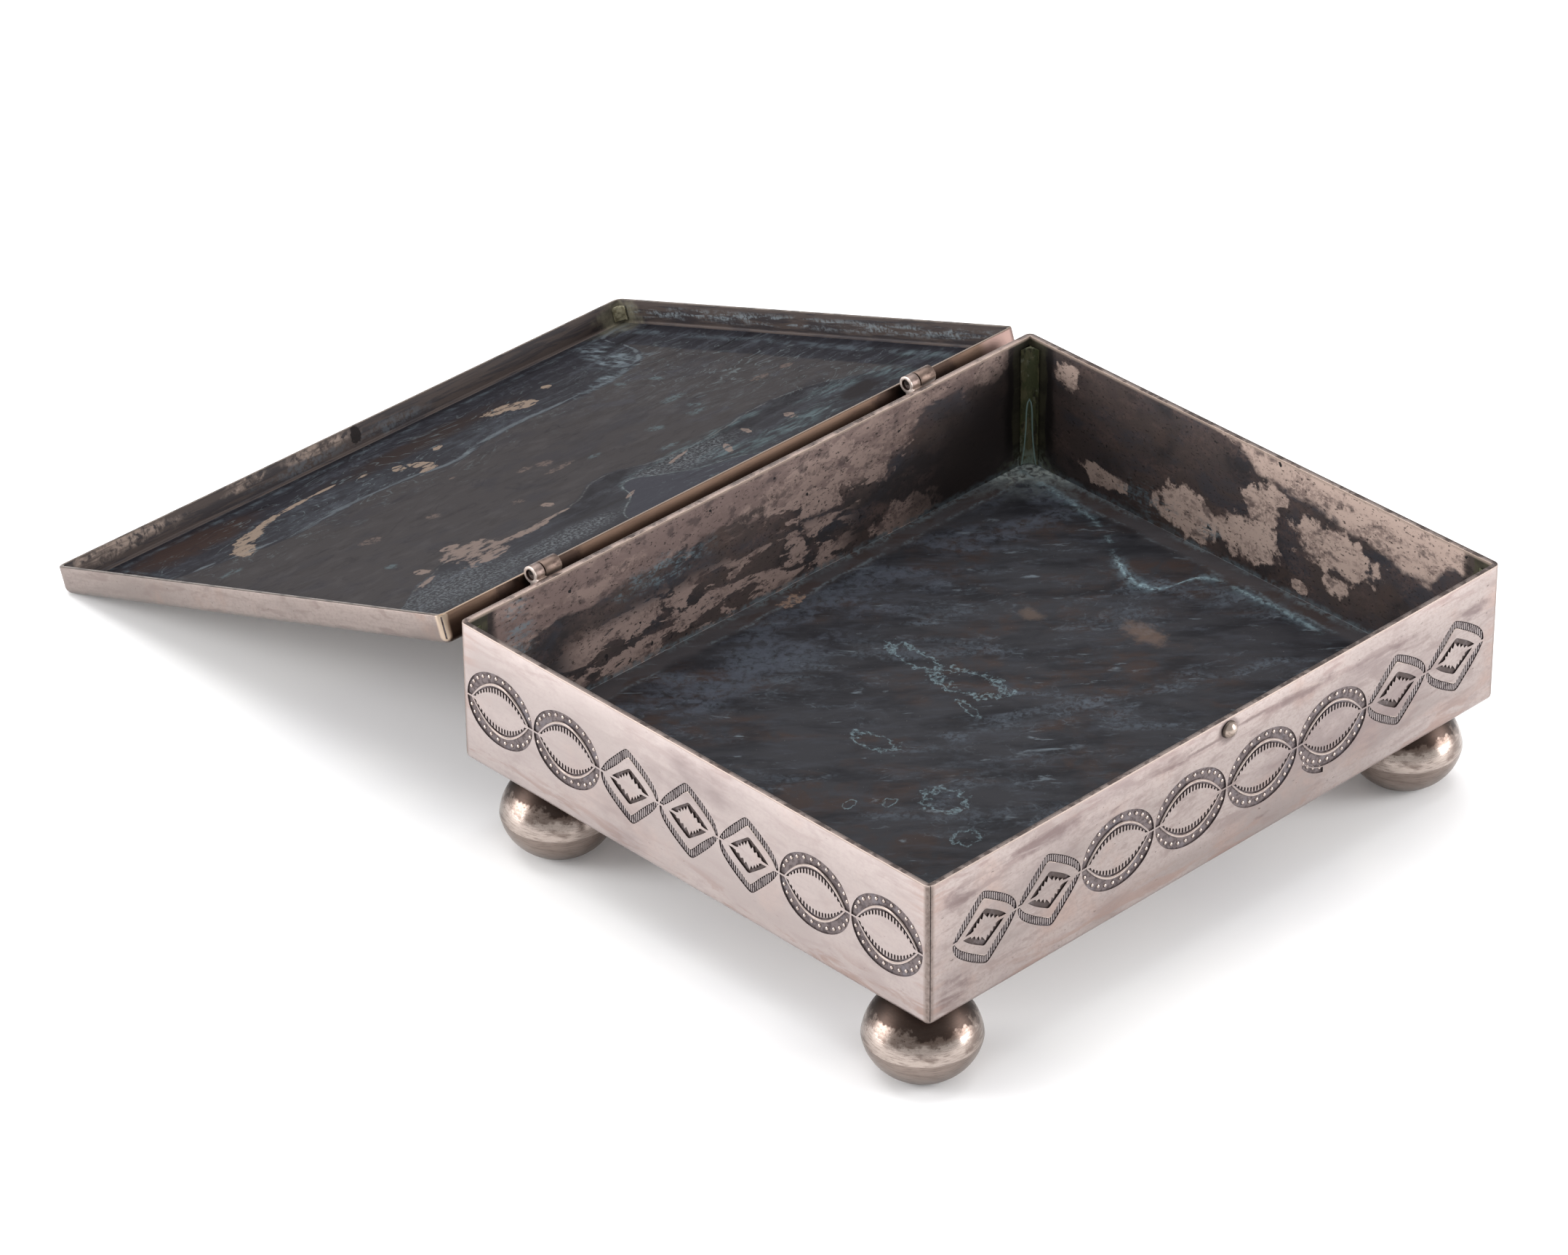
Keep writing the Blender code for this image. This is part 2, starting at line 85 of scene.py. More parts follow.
def pick(piece, kind, test):
    """Selects the faces or edges of a piece that pass a test, and stays in edit mode."""
    take(piece)
    bpy.ops.object.mode_set(mode="EDIT")
    bpy.ops.mesh.select_mode(type=kind)
    bpy.ops.mesh.select_all(action="DESELECT")
    cage = bmesh.from_edit_mesh(piece.data)
    for item in cage.faces if kind == "FACE" else cage.edges:
        if test(item):
            item.select_set(True)
    bmesh.update_edit_mesh(piece.data)


def settle(piece):
    """Applies a piece's modifiers and its place, so that its object sits at the origin."""
    take(piece)
    for modifier in list(piece.modifiers):
        bpy.ops.object.modifier_apply(modifier=modifier.name)
    bpy.ops.object.transform_apply(location=True, rotation=True, scale=True)
    return piece


def block(size, place, turn=0):
    """Cuboid of a size about a place, turned round the upright."""
    bpy.ops.mesh.primitive_cube_add(size=1, location=place, rotation=(0, 0, turn), scale=size)
    return settle(bpy.context.object)


def ease(piece, radius, steps, test, **options):
    """Rounds the edges of a piece that pass a test."""
    pick(piece, "EDGE", test)
    bpy.ops.mesh.bevel(offset=radius, segments=steps, profile=0.5, affect="EDGES", **options)
    let_go()


def weld(piece, gap):
    """Joins points that are closer than a gap and turns all faces outwards."""
    take_all_of(piece)
    bpy.ops.mesh.remove_doubles(threshold=gap)
    bpy.ops.mesh.normals_make_consistent(inside=False)
    let_go()


def merge(piece, other, operation="DIFFERENCE", crossing=False):
    """Cuts another solid out of a piece, or joins it on. Crossing: the cutter runs through itself."""
    step = piece.modifiers.new("merge", "BOOLEAN")
    step.solver = "EXACT"
    step.operation = operation
    step.use_self = crossing
    step.material_mode = "TRANSFER"
    step.object = other
    settle(piece)
    bpy.data.objects.remove(other)


def join(name, pieces):
    """One piece made of several."""
    take(*pieces)
    bpy.ops.object.transform_apply(location=True, rotation=True, scale=True)
    if len(pieces) > 1:
        bpy.ops.object.join()
    bpy.context.object.name = name
    return bpy.context.object


def made_of(piece, material):
    """Gives a piece one material."""
    piece.data.materials.clear()
    piece.data.materials.append(material)
    return piece


def smooth(piece, degrees):
    """Shades a piece softly, but for bends sharper than an angle."""
    take(piece)
    bpy.ops.object.shade_smooth_by_angle(angle=math.radians(degrees))


def folded_tray(name, size, sheet, corner, fold):
    """Open tray with its bottom at z = 0. Slots: 0 outer faces, 1 inner faces, 2 rim, 3 inner floor."""
    tray = block(size, (0, 0, size.z / 2))
    tray.name = name
    pick(tray, "FACE", lambda face: face.normal.z > 0.5)
    bpy.ops.mesh.delete(type="ONLY_FACE")
    ease(tray, corner, arc_steps, lambda edge: abs(edge.verts[0].co.z - edge.verts[1].co.z) > size.z / 2)
    ease(tray, fold, arc_steps, lambda edge: max(v.co.z for v in edge.verts) < size.z / 2)
    for _ in range(3):
        tray.data.materials.append(None)
    wall = tray.modifiers.new("sheet", "SOLIDIFY")
    wall.thickness = sheet
    wall.offset = -1
    wall.use_even_offset = True
    wall.use_quality_normals = True
    wall.material_offset = 1
    wall.material_offset_rim = 2
    settle(tray)
    rim = size.z - sheet / 4
    ease(tray, rim_ease, 2, lambda edge: min(v.co.z for v in edge.verts) > rim and edge.calc_face_angle() > 1)
    tray.data.materials.append(None)
    for face in tray.data.polygons:
        middle = face.center
        off_side = min(size.x / 2 - abs(middle.x), size.y / 2 - abs(middle.y))
        if face.material_index == 2 and face.normal.z < 0.98 and off_side < sheet / 3:
            face.material_index = 0
        if face.material_index == 1 and face.normal.z > 0.9 and middle.z < 2 * sheet:
            face.material_index = 3
    return tray


tray = folded_tray("tray", box_size, box_sheet, box_corner, box_fold)
tray.location = (box_middle.x, box_middle.y, box_low.z)
settle(tray)


def tone(red, green, blue):
    """A colour as the eye gives it, 0 to 255, made linear for the shader."""
    values = []
    for value in (red, green, blue):
        share = value / 255
        values.append(share / 12.92 if share < 0.04045 else ((share + 0.055) / 1.055) ** 2.4)
    return (*values, 1.0)


def counted(operation):
    """A sum of fields and numbers that a node does."""
    return lambda field, *others: field.patina.sum(operation, field, *others)


class Field:
    """A value that varies over a surface, as a node of its patina gives it.

    Fields are counted with like numbers. Where they are masks, a * b is 1 where both are, and a | b where
    either is: of two values it takes the larger, and a & b the smaller.
    """

    __add__ = counted("ADD")
    __sub__ = counted("SUBTRACT")
    __mul__ = counted("MULTIPLY")
    __truediv__ = counted("DIVIDE")
    __or__ = counted("MAXIMUM")
    __and__ = counted("MINIMUM")
    __abs__ = counted("ABSOLUTE")
    times = counted("MULTIPLY_ADD")

    def __init__(self, patina, socket):
        self.patina = patina
        self.socket = socket

    def __rsub__(self, other):
        return self.patina.sum("SUBTRACT", other, self)

    def edge(self, start, end):
        """0 up to start and 1 from end on, with a smooth step between."""
        return self.patina.field("ShaderNodeMapRange", [("interpolation_type", "SMOOTHSTEP")], Value=self,
                                 From_Min=start, From_Max=end)

    def band(self, start, end, soft):
        """1 between start and end, with soft flanks."""
        return self.edge(start - soft, start + soft) * self.edge(end + soft, end - soft)

    def line(self, points, length, span):
        """Height, 0 to span, of a smooth line through points while this value runs from 0 to length."""
        item = self.patina.node("ShaderNodeFloatCurve", Value=self / length)
        curve = item.mapping.curves[0]
        while len(curve.points) < len(points):
            curve.points.new(0.5, 0.5)
        for point, (x, y) in zip(curve.points, points):
            point.location = (x / length, y / span)
        item.mapping.update()
        return Field(self.patina, item.outputs[0]) * span


def any_of(masks):
    """1 where any of a list of masks is."""
    result = masks[0]
    for mask in masks[1:]:
        result = result | mask
    return result


class Patina:
    """A metal finish with washes of tarnish laid over it. Its places and sizes are in millimetres.

    Share darkens all of its colours alike, so that they can be given as the eye sees them in full light.
    """

    def __init__(self, name, colour, roughness, metallic=1.0, origin=(0, 0, 0), tilt=0.0, share=1.0,
                 gloss=0.5):
        self.material = bpy.data.materials.new(name)
        self.material.use_nodes = True
        self.tree = self.material.node_tree
        self.shader = self.tree.nodes["Principled BSDF"]
        self.shader.inputs["Metallic"].default_value = metallic
        self.shader.inputs["Specular IOR Level"].default_value = gloss
        shift = Matrix.Rotation(tilt, 3, "X") @ Vector(origin) / -MM
        self.place = self.node(
            "ShaderNodeMapping", Vector=self.node("ShaderNodeTexCoord").outputs["Object"],
            Location=shift, Rotation=(tilt, 0, 0), Scale=(1 / MM, 1 / MM, 1 / MM)).outputs[0]
        axes = self.node("ShaderNodeSeparateXYZ", Vector=self.place).outputs
        self.x, self.y, self.z = (Field(self, axis) for axis in axes)
        self.share = share
        self.colour = self.ink(colour)
        self.roughness = roughness

    def ink(self, colour):
        return tuple(value * self.share for value in tone(*colour)[:3]) + (1.0,)

    def feed(self, socket, value):
        value = getattr(value, "socket", value)
        if isinstance(value, bpy.types.NodeSocket):
            self.tree.links.new(value, socket)
        else:
            socket.default_value = value

    def node(self, kind, settings=(), **inputs):
        item = self.tree.nodes.new(kind)
        for setting, value in settings:
            setattr(item, setting, value)
        for name, value in inputs.items():
            self.feed(item.inputs[name.replace("_", " ")], value)
        return item

    def field(self, kind, settings=(), **inputs):
        return Field(self, self.node(kind, settings, **inputs).outputs[0])

    def sum(self, operation, *values):
        item = self.node("ShaderNodeMath", [("operation", operation)])
        for socket, value in zip(item.inputs, values):
            self.feed(socket, value)
        return Field(self, item.outputs[0])

    def vector(self, operation, value, other=(0, 0, 0)):
        item = self.node("ShaderNodeVectorMath", [("operation", operation)])
        self.feed(item.inputs[0], value)
        self.feed(item.inputs[1], other)
        return Field(self, item.outputs["Value" if operation == "LENGTH" else "Vector"])

    def reach(self, centre, size, turn=(0, 0, 0)):
        """Distance from a place, 1 on an ellipsoid of that size round it."""
        near = self.vector("SUBTRACT", self.place, centre)
        if any(turn):
            near = self.field("ShaderNodeVectorRotate", [("rotation_type", "EULER_XYZ"), ("invert", True)],
                              Vector=near, Rotation=turn)
        return self.vector("LENGTH", self.vector("DIVIDE", near, size))

    def cloud(self, size, detail=3.0, shift=0.0, stretch=(1, 1, 1), warp=0.0, turn=(0, 0, 0)):
        """Soft noise about 0.5, in lumps of a size stretched along the axes. Each shift makes another one."""
        grain = self.field("ShaderNodeMapping", [("vector_type", "TEXTURE")], Vector=self.place,
                           Location=(shift, shift, shift), Rotation=turn,
                           Scale=tuple(size * share for share in stretch))
        return self.field("ShaderNodeTexNoise", Vector=grain, Scale=1.0, Detail=detail, Roughness=0.6,
                          Distortion=warp)

    def tide(self, size, count, shift, stretch, warp, turn=(0, 0, 0)):
        """Fine wavy lines, as the edges of dried wet patches leave them: 1 on the lines."""
        level = self.cloud(size, 4.0, shift, stretch, warp, turn) * count
        return self.sum("FRACT", level).band(0.47, 0.53, 0.06)

    def spot(self, centre, size, ragged=0.3, soft=0.12, lump=2.0, turn=(0, 0, 0)):
        """1 inside an ellipsoid about a place, with a ragged, soft edge that has lumps of a size."""
        far = self.reach(centre, size, turn)
        if ragged:
            far = far + self.cloud(lump, 4.0).times(4 * ragged, -2 * ragged)
        return far.edge(1 + soft, 1 - soft)

    def lay(self, colour, mask, roughness=None, strength=1.0, patchy=0.0):
        """Mixes a colour over what is there where the mask is 1, and a roughness with it.

        Patchy is the size of the breaks in it, if it doesn't cover the ground evenly.
        """
        if patchy:
            mask = mask * self.cloud(patchy, 7.0, patchy * 37, warp=0.5).edge(0.36, 0.6)
        if strength != 1.0:
            mask = mask * strength
        mix = self.node("ShaderNodeMix", [("data_type", "RGBA")])
        self.feed(mix.inputs[0], mask)
        self.feed(mix.inputs[6], self.colour)
        self.feed(mix.inputs[7], self.ink(colour))
        self.colour = mix.outputs[2]
        if roughness is not None:
            rough = self.node("ShaderNodeMix")
            self.feed(rough.inputs[0], mask)
            self.feed(rough.inputs[2], self.roughness)
            self.feed(rough.inputs[3], roughness)
            self.roughness = rough.outputs[0]

    def emboss(self, height, depth):
        """Raises the surface where height is 1 by a depth in millimetres."""
        bump = self.node("ShaderNodeBump", Height=height, Distance=depth * MM, Strength=1.0)
        if self.shader.inputs["Normal"].is_linked:
            self.feed(bump.inputs["Normal"], self.shader.inputs["Normal"].links[0].from_socket)
        self.feed(self.shader.inputs["Normal"], bump.outputs[0])

    def done(self):
        self.feed(self.shader.inputs["Base Color"], self.colour)
        self.feed(self.shader.inputs["Roughness"], self.roughness)
        return self.material


def worn_silver(name, colour, roughness=0.36, origin=(0, 0, 0), tilt=0.0):
    """Pale rubbed silver: pink and grey clouds, fine scratches along the sheet and small dark nicks."""
    def tint(*shares):
        return tuple(value * share for value, share in zip(colour, shares))

    silver = Patina(name, colour, roughness, origin=origin, tilt=tilt)
    dim = tint(0.88, 0.88, 0.88)
    silver.lay(dim, silver.cloud(26, stretch=(2.2, 2.2, 0.6)).edge(0.45, 0.65))
    silver.lay(tint(0.98, 0.92, 0.89), silver.cloud(14, 4, 31).edge(0.52, 0.7), strength=0.7)
    grain = silver.cloud(0.9, 5, 7, (14, 14, 0.5))
    silver.lay(dim, grain.edge(0.5, 0.68), roughness + 0.08, 0.4)
    smears = silver.cloud(4, 8, 170, (2.4, 2.4, 0.7), 0.5).edge(0.5, 0.64)
    silver.lay(tint(0.82, 0.79, 0.79), smears, strength=0.65)
    grit = silver.cloud(0.6, 6, 240, (1.4, 1.4, 1)).edge(0.46, 0.62)
    silver.lay(tint(0.86, 0.84, 0.84), grit, strength=0.4)
    flecks = silver.cloud(0.45, 2, 210).edge(0.66, 0.74)
    silver.lay((124, 108, 104), flecks, 0.46, 0.5)
    nicks = silver.cloud(0.9, 2, 53, (1.8, 1.8, 0.7)).edge(0.7, 0.76)
    silver.lay((92, 80, 76), nicks, 0.5, 0.7)
    silver.emboss(silver.cloud(18, 1.5, 90), 0.25)
    silver.emboss(grain, 0.012)
    return silver


outside = worn_silver("silver_outside", (166, 154, 150), origin=box_low)
length_mm, depth_mm, height_mm = (value / MM for value in box_size)
# Painted light: the outside of the left wall is laid lighter, to make up for the shaded table that it faces.
outside.lay((184, 172, 169), outside.x.edge(0.7, 0.3), strength=0.5)
from_ends = outside.x & (length_mm - outside.x)
from_walls = outside.y & (depth_mm - outside.y)
smear = outside.cloud(5, 6, 12, (3.4, 3.4, 0.55), 0.6)
near_rim = outside.z.edge(height_mm - 9, height_mm - 1)
fewer_on_left = outside.x.edge(-2, 2)
outside.lay((138, 120, 117), smear.edge(0.52, 0.64) * near_rim * fewer_on_left, 0.46, 0.65)
near_bottom = outside.z.edge(8, 1)
outside.lay((150, 128, 120), smear.edge(0.48, 0.6) * near_bottom, 0.44, 0.75)
at_corner = (from_ends | from_walls).edge(7, 0.5)
outside.lay((160, 138, 130), smear.edge(0.48, 0.62) * at_corner, 0.44, 0.6)
outside.lay((132, 119, 118), outside.cloud(30, 5, 140, (1.6, 1.6, 0.8)).edge(0.5, 0.68), 0.42, 0.7)
# Painted shade: a dark ring on the wall round the catch bead, where it stands off the wall.
bead_shade_ring = outside.spot((80, 0, 28.6), (2.7, 3, 2.7), 0.15, 0.25, 1.5)
outside.lay((104, 92, 90), bead_shade_ring, 0.5, 0.8)
for along, up, length in ((73.5, 27.575, 5), (86.8, 28.24, 4.2)):
    beside_bead = outside.spot((along, 0, up), (length, 3, 0.35), 0.3, 0.6, 1.5)
    outside.lay((112, 98, 96), beside_bead, 0.5, 0.8)
for along, up, length, height in (
        (30, 27.5, 9, 1.6), (47, 26, 5, 1), (64, 28, 7, 1.3), (100, 27.5, 8, 1.1), (124, 25.5, 9, 1.6),
        (150, 24, 4, 1.5), (8, 25, 4, 2.4), (7, 5, 4, 3), (91, 4.5, 2.2, 0.5)):
    smudge = outside.spot((along, 0, up), (length, 4, height), 0.6, 0.6, 2.5)
    outside.lay((112, 97, 96), smudge * smear.edge(0.4, 0.6), 0.46, 0.75)
off_corner = from_ends + from_walls
outside.lay((134, 121, 115), off_corner.edge(1.7, 0.9), 0.5, 0.85)
seam_wobble = outside.cloud(0.9, 5, 61, (1, 1, 2.2)).times(0.9, -0.45)
seam_off = abs(off_corner - 0.8 + seam_wobble)
outside.lay((84, 70, 64), seam_off.edge(0.3, 0.08), 0.6, 0.42, 0.8)
outside.lay((152, 138, 131), outside.z.edge(height_mm - 0.4, height_mm - 0.2), 0.42)
tray_outside = outside.done()

rim_metal = worn_silver("silver_rim", (104, 94, 90), origin=box_low)
rim_metal.lay((58, 50, 48), rim_metal.cloud(3, 6).edge(0.46, 0.58), 0.5, 0.85)
rubbed_end = rim_metal.y.edge(depth_mm - 2, depth_mm - 1)
rim_metal.lay((142, 126, 119), rubbed_end * rim_metal.cloud(5, 6).edge(0.4, 0.56), 0.4, 0.8)
tray_rim = rim_metal.done()


# The tarnish inside the box. Seen into its mouth, x runs from the left wall, y from the front wall towards
# the hinge and z up from the floor, all in millimetres. The back and right walls have pinkish clean patches,
# pits and blue bloom; the hidden front and left walls have the same in other places.
inner_corner = box_low + Vector((box_sheet, box_sheet, box_sheet))
inner_length = (box_size.x - 2 * box_sheet) / MM
inner_depth = (box_size.y - 2 * box_sheet) / MM
inner_height = (box_size.z - box_sheet) / MM
wall = Patina("tarnish_walls", (74, 65, 63), 0.46, metallic=0.5, origin=inner_corner, gloss=0.2)
wall.lay((54, 50, 51), wall.cloud(22, 3, 5).edge(0.46, 0.6), 0.42)
wall.lay((74, 62, 58), wall.cloud(9, 5, 40).edge(0.52, 0.64), 0.55, 0.7)
wall.lay((60, 62, 70), wall.cloud(13, 7, 205, (1.5, 1.5, 0.8), 0.5).edge(0.48, 0.64), 0.44, 0.6)
clean = (150, 131, 124)
from_rim = inner_height - wall.z
blotch = wall.cloud(7, 7, 3, (1.5, 1, 0.62), 0.35)
on_back = wall.y.edge(inner_depth - 2, inner_depth - 1)
upper_line = wall.x.line([(0, 16), (22, 11), (45, 8), (62, 8), (84, 10), (112, 12), (128, 4), (155, 3)],
                         inner_length, inner_height)
upper = (blotch.times(16, from_rim) - upper_line).edge(9.5, 7)
lower = from_rim.band(17, 30, 2.5) * wall.x.band(26, 102, 5) * blotch.edge(0.47, 0.5)
middle_right = wall.spot((98, inner_depth, 20), (20, 30, 8), 0.5, lump=5) * blotch.edge(0.46, 0.49)
foot_right = wall.spot((120, inner_depth, 3), (9, 30, 3.6), 0.5, lump=3)
far_corner = wall.spot((144, inner_depth, 27), (5, 30, 3.4), 0.4, lump=3)
wall.lay((120, 103, 99), on_back * upper, 0.42)
wall.lay(clean, on_back * (lower | middle_right | foot_right | far_corner), 0.42)
left_glow = wall.cloud(6, 7, 88, (1.6, 1, 0.7)).edge(0.48, 0.6)
wall.lay((146, 127, 120), on_back * upper * left_glow, 0.42, 0.8)

on_right = wall.x.edge(inner_length - 2, inner_length - 1)
from_back = inner_depth - wall.y
right_line = from_back.line([(0, 0), (56, 0), (66, 6), (80, 7), (98, 10), (108, 12), (116, 6), (125, 8)],
                            inner_depth, inner_height)
right_upper = (blotch.times(7, from_rim) - right_line).edge(4.6, 2.6)
right_spots = [right_upper]
for along, down, length, height in (
        (65, 13, 4.5, 5.5), (84, 15, 11, 5), (61, 22, 8.5, 5), (45, 23, 8, 5.5), (22, 25, 6.5, 2.2),
        (86, 23, 3.4, 2.4), (76, 27, 2.2, 1.5), (69, 9, 3, 2), (11, 5, 3, 3.4)):
    place = (inner_length, inner_depth - along, inner_height - down)
    right_spots.append(wall.spot(place, (30, length, height), 0.5, lump=3.2))
wall.lay((192, 170, 159), on_right * any_of(right_spots), 0.42)

on_hidden = wall.y.edge(2, 1) | wall.x.edge(2, 1)
hidden_patch = wall.cloud(13, 7, 77, (1.4, 1.4, 0.6), 0.4).edge(0.52, 0.55)
wall.lay(clean, on_hidden * hidden_patch, 0.42)
grime = wall.cloud(5, 7, 27, (1.8, 1.8, 0.8), 0.4).edge(0.44, 0.66)
wall.lay((92, 77, 74), grime, 0.48, 0.7, 0.8)
bruises = wall.cloud(2.6, 9, 150, (1.4, 1.4, 0.9), 0.2).edge(0.53, 0.66)
wall.lay((72, 62, 62), bruises, 0.48, 0.7)
pits = wall.cloud(0.7, 3, 21, (1.5, 1.5, 0.8)).edge(0.58, 0.68)
wall.lay((44, 38, 37), pits, 0.6, 0.85)
pit_cores = wall.cloud(2.6, 2, 64).edge(0.7, 0.74)
wall.lay((36, 33, 34), pit_cores, 0.6)
bloom_place = any_of([
    wall.spot((52, inner_depth, 19), (12, 30, 2.8), 0.5, 0.5, 4),
    wall.spot((13, inner_depth, 22), (3.4, 30, 9), 0.4, 0.5, 4),
    wall.spot((inner_length, inner_depth - 34, 5), (30, 8, 3.5), 0.5, 0.5, 3),
    wall.spot((inner_length, inner_depth - 51, 5), (30, 3, 2), 0.5, 0.5, 3)])
veins = wall.cloud(2.2, 7, 9, (2.2, 2.2, 0.5), 1).edge(0.44, 0.62)
wall.lay((104, 120, 128), bloom_place * veins, 0.6, 0.7, 1)
dark_corner = wall.spot((140, inner_depth, 9), (20, 30, 13), 0.35, 0.5, 6, (0, math.radians(-32), 0))
wall.lay((52, 47, 47), on_back * dark_corner, 0.4, 0.85)
wall_off = (wall.x & (inner_length - wall.x)) | (wall.y & (inner_depth - wall.y))
ragged_off = wall.cloud(2.4, 5, 4, (1, 1, 2.5)).times(3, wall_off)
wall.lay((30, 27, 27), ragged_off.edge(9.6, 7.4) * wall.z.edge(1, 8), 0.5, 0.9)
column = ragged_off.edge(6.6, 5.8)
wall.lay((66, 64, 50), column, 0.6, 0.8)
wall.lay((42, 40, 34), column * blotch.edge(0.46, 0.6), 0.6, 0.8)
crust = wall.cloud(1.8, 6, 73).times(6, wall_off.times(0.55, wall.z))
wall.lay((92, 98, 86), crust.edge(10.4, 6.6), 0.7, 0.8, 1.2)
wall.lay((150, 160, 154), crust.edge(7.4, 5), 0.75, 0.8, 1)
foot_line = wall.cloud(2, 6, 120).times(2.4, wall.z).edge(2.7, 1.6)
wall.lay((92, 102, 108), foot_line, 0.6, 0.75, 1.6)
wall.lay((166, 148, 136), from_rim.edge(0.9, 0.2), 0.35, 0.8)
wall.emboss(blotch, 0.05)
tarnish_walls = wall.done()

drift = (0, 0, -0.72)
floor = Patina("tarnish_floor", (56, 56, 60), 0.4, metallic=0.0, origin=inner_corner, share=0.7, gloss=0.03)
floor.lay((66, 54, 50), floor.cloud(18, 7, 15, (1.8, 0.8, 1), 0.5, drift).edge(0.46, 0.62), 0.46, 0.8, 5)
floor.lay((37, 37, 41), floor.cloud(9, 8, 44, (2.2, 0.8, 1), 0.3, drift).edge(0.4, 0.66), 0.4, 0.9)
floor.lay((66, 68, 75), floor.cloud(3, 9, 290, (2.6, 0.7, 1), 0.3, drift).edge(0.5, 0.7), 0.5, 0.5)
haze = floor.cloud(12, 7, 8, (1.7, 0.7, 1), 0.6, drift)
floor.lay((84, 91, 100), haze.edge(0.5, 0.7), 0.5, 0.7, 1.2)
tides = floor.tide(16, 7, 310, (1.6, 0.8, 1), 0.6, drift)
floor.lay((104, 112, 120), tides * haze.edge(0.44, 0.6), 0.5, 0.45, 2)
floor.lay((118, 128, 136), floor.cloud(4, 8, 180, (2.2, 0.6, 1), 0.5, drift).edge(0.62, 0.74), 0.55, 0.7)
back_off = inner_depth - floor.y
right_off = inner_length - floor.x
near_back = back_off.band(6, 22, 5)
floor.lay((78, 82, 92), near_back * haze.edge(0.4, 0.6), 0.5, 0.8, 2)
edge_off = (back_off & right_off) & (floor.x & floor.y)
wander = floor.cloud(6, 4, 70).times(3, edge_off)
floor.lay((84, 80, 82), wander.edge(7.6, 5), 0.55, 0.6)
floor.lay((66, 56, 54), wander.edge(7.6, 5) * haze.edge(0.48, 0.6), 0.5, 0.8)
floor.lay((120, 134, 142), wander.band(5.9, 6.3, 0.5) * haze.edge(0.4, 0.56), 0.6, 0.7, 1.2)
floor.lay((112, 124, 130), wander.edge(3.6, 2.2) * haze.edge(0.4, 0.6), 0.6, 0.6, 1.2)
corner_far = floor.cloud(3, 7, 28).times(10, back_off + right_off)
floor.lay((122, 130, 132), corner_far.edge(30, 14), 0.6, 0.75, 2.6)
floor.lay((196, 206, 202), corner_far.edge(20, 11), 0.7, 0.8, 1.6)
crust_line = back_off.line(
    [(0, 4), (12, 5), (30, 9), (41, 16), (50, 19), (54, 17), (56, 9), (70, 6), (82, 6), (94, 7), (125, 5)],
    inner_depth, inner_length)
crust = floor.cloud(2, 5, 33).times(2.4, abs(right_off - crust_line))
hooked = back_off.band(40, 60, 3) | haze.edge(0.44, 0.56) * 0.55
floor.lay((158, 184, 192), crust.edge(2.3, 0.9) * hooked, 0.6, patchy=1)
floor.lay((110, 128, 138), crust.edge(4.5, 1.5) * hooked, 0.6, 0.5, 1.6)
outlines = []
for along, down, length, depth, turn in (
        (58, 53, 2.6, 5, 0.2), (79.5, 57.5, 1, 4, -0.2), (86, 51, 4, 8, 0.3), (85, 37, 2.6, 7, 0),
        (53, 77, 4, 4.6, 0.1), (45, 70, 1.8, 1.2, 0), (39, 65, 2, 0.9, 0.3), (47, 89, 3, 2.6, 0)):
    loop = floor.reach((along, inner_depth - down, 0), (length, depth, 30), (0, 0, turn))
    outlines.append((loop + floor.cloud(1.6, 4, along).times(2, -1)).band(0.86, 1, 0.16))
floor.lay((140, 164, 172), any_of(outlines), 0.6, 0.75, 1)
salmon = floor.spot((82.5, inner_depth - 4.5, 0), (3.2, 1.7, 30), 0.5, lump=1.6)
floor.lay((146, 122, 108), salmon, 0.45, 0.8, 0.9)
floor.lay((120, 100, 88), floor.spot((124, inner_depth - 63, 0), (2.6, 4.5, 30), 0.5, 0.6), 0.5, 0.5)
floor.lay((110, 94, 84), floor.spot((113, inner_depth - 42, 0), (1.8, 2.4, 30), 0.4, 0.6), 0.5, 0.5)
dust = floor.cloud(0.5, 1, 81).edge(0.73, 0.8)
floor.lay((110, 104, 102), dust, 0.6, 0.5)
floor.emboss(haze, 0.05)
tarnish_floor = floor.done()


# The stamped rows: each oval is one crescent punch struck twice, each diamond one chevron punch struck
# twice, the second time turned half round. The sunk ground is left grey, the high parts are rubbed bright.
row_height = 16.2 * MM
row_middle = box_low.z + 15.5 * MM
strike_gap = 0.36 * MM
stamp_depth = 0.32 * MM
cut_depth = 2 * stamp_depth
oval_share = 1.165
band_width = 1.25 * MM
bead_count = 12
bead_radius = 0.41 * MM
bead_in = 0.62 * MM
bead_rise = 6.8 * MM
ridge_in = 1.45 * MM
ridge_rise = 5.45 * MM
ridge_half = 0.3 * MM
ridge_radius = 0.27 * MM
ridge_sink = 0.12 * MM
groove_in = 1.6 * MM
slot_root_in = 1.85 * MM
slot_tip_in = 2.0 * MM
slot_reach = 1.2 * MM
lens_rise = 3.45 * MM
slot_count = 18
slot_outline = ((0.52, 0.0), (0.5, 0.8), (0.25, 1.0), (-0.25, 1.0), (-0.5, 0.8), (-0.52, 0.0))
hatch_pitch = 0.56 * MM
hatch_foot = 0.2 * MM
hatch_head = 0.25 * MM
shortest_hatch = 0.3 * MM
lip_in = 0.05 * MM
lip_sink = 0.1 * MM
lip_radius = 0.12 * MM
punch_length = 17.3 * MM
# One strike of the front wall slipped, and left a thin crescent with four beads under its oval.
slipped_stamp = 5
slip_start, slip_end = 2.0 * MM, 8.6 * MM
slip_width = 1.2 * MM
slip_drop = 1.25 * MM
slip_beads = range(1, 5)
slip_bead_drop = 1.45 * MM
point_gap = 0.002 * MM


def half_of(length):
    """Half the length of a stamp that has a length of the row to itself."""
    return (length - strike_gap) / 2


def half_oval(half, rise, count=40):
    """From the right tip over the top to the left tip."""
    steps = [math.pi * i / count for i in range(count + 1)]
    return [(half * math.cos(angle), rise * math.sin(angle)) for angle in steps]


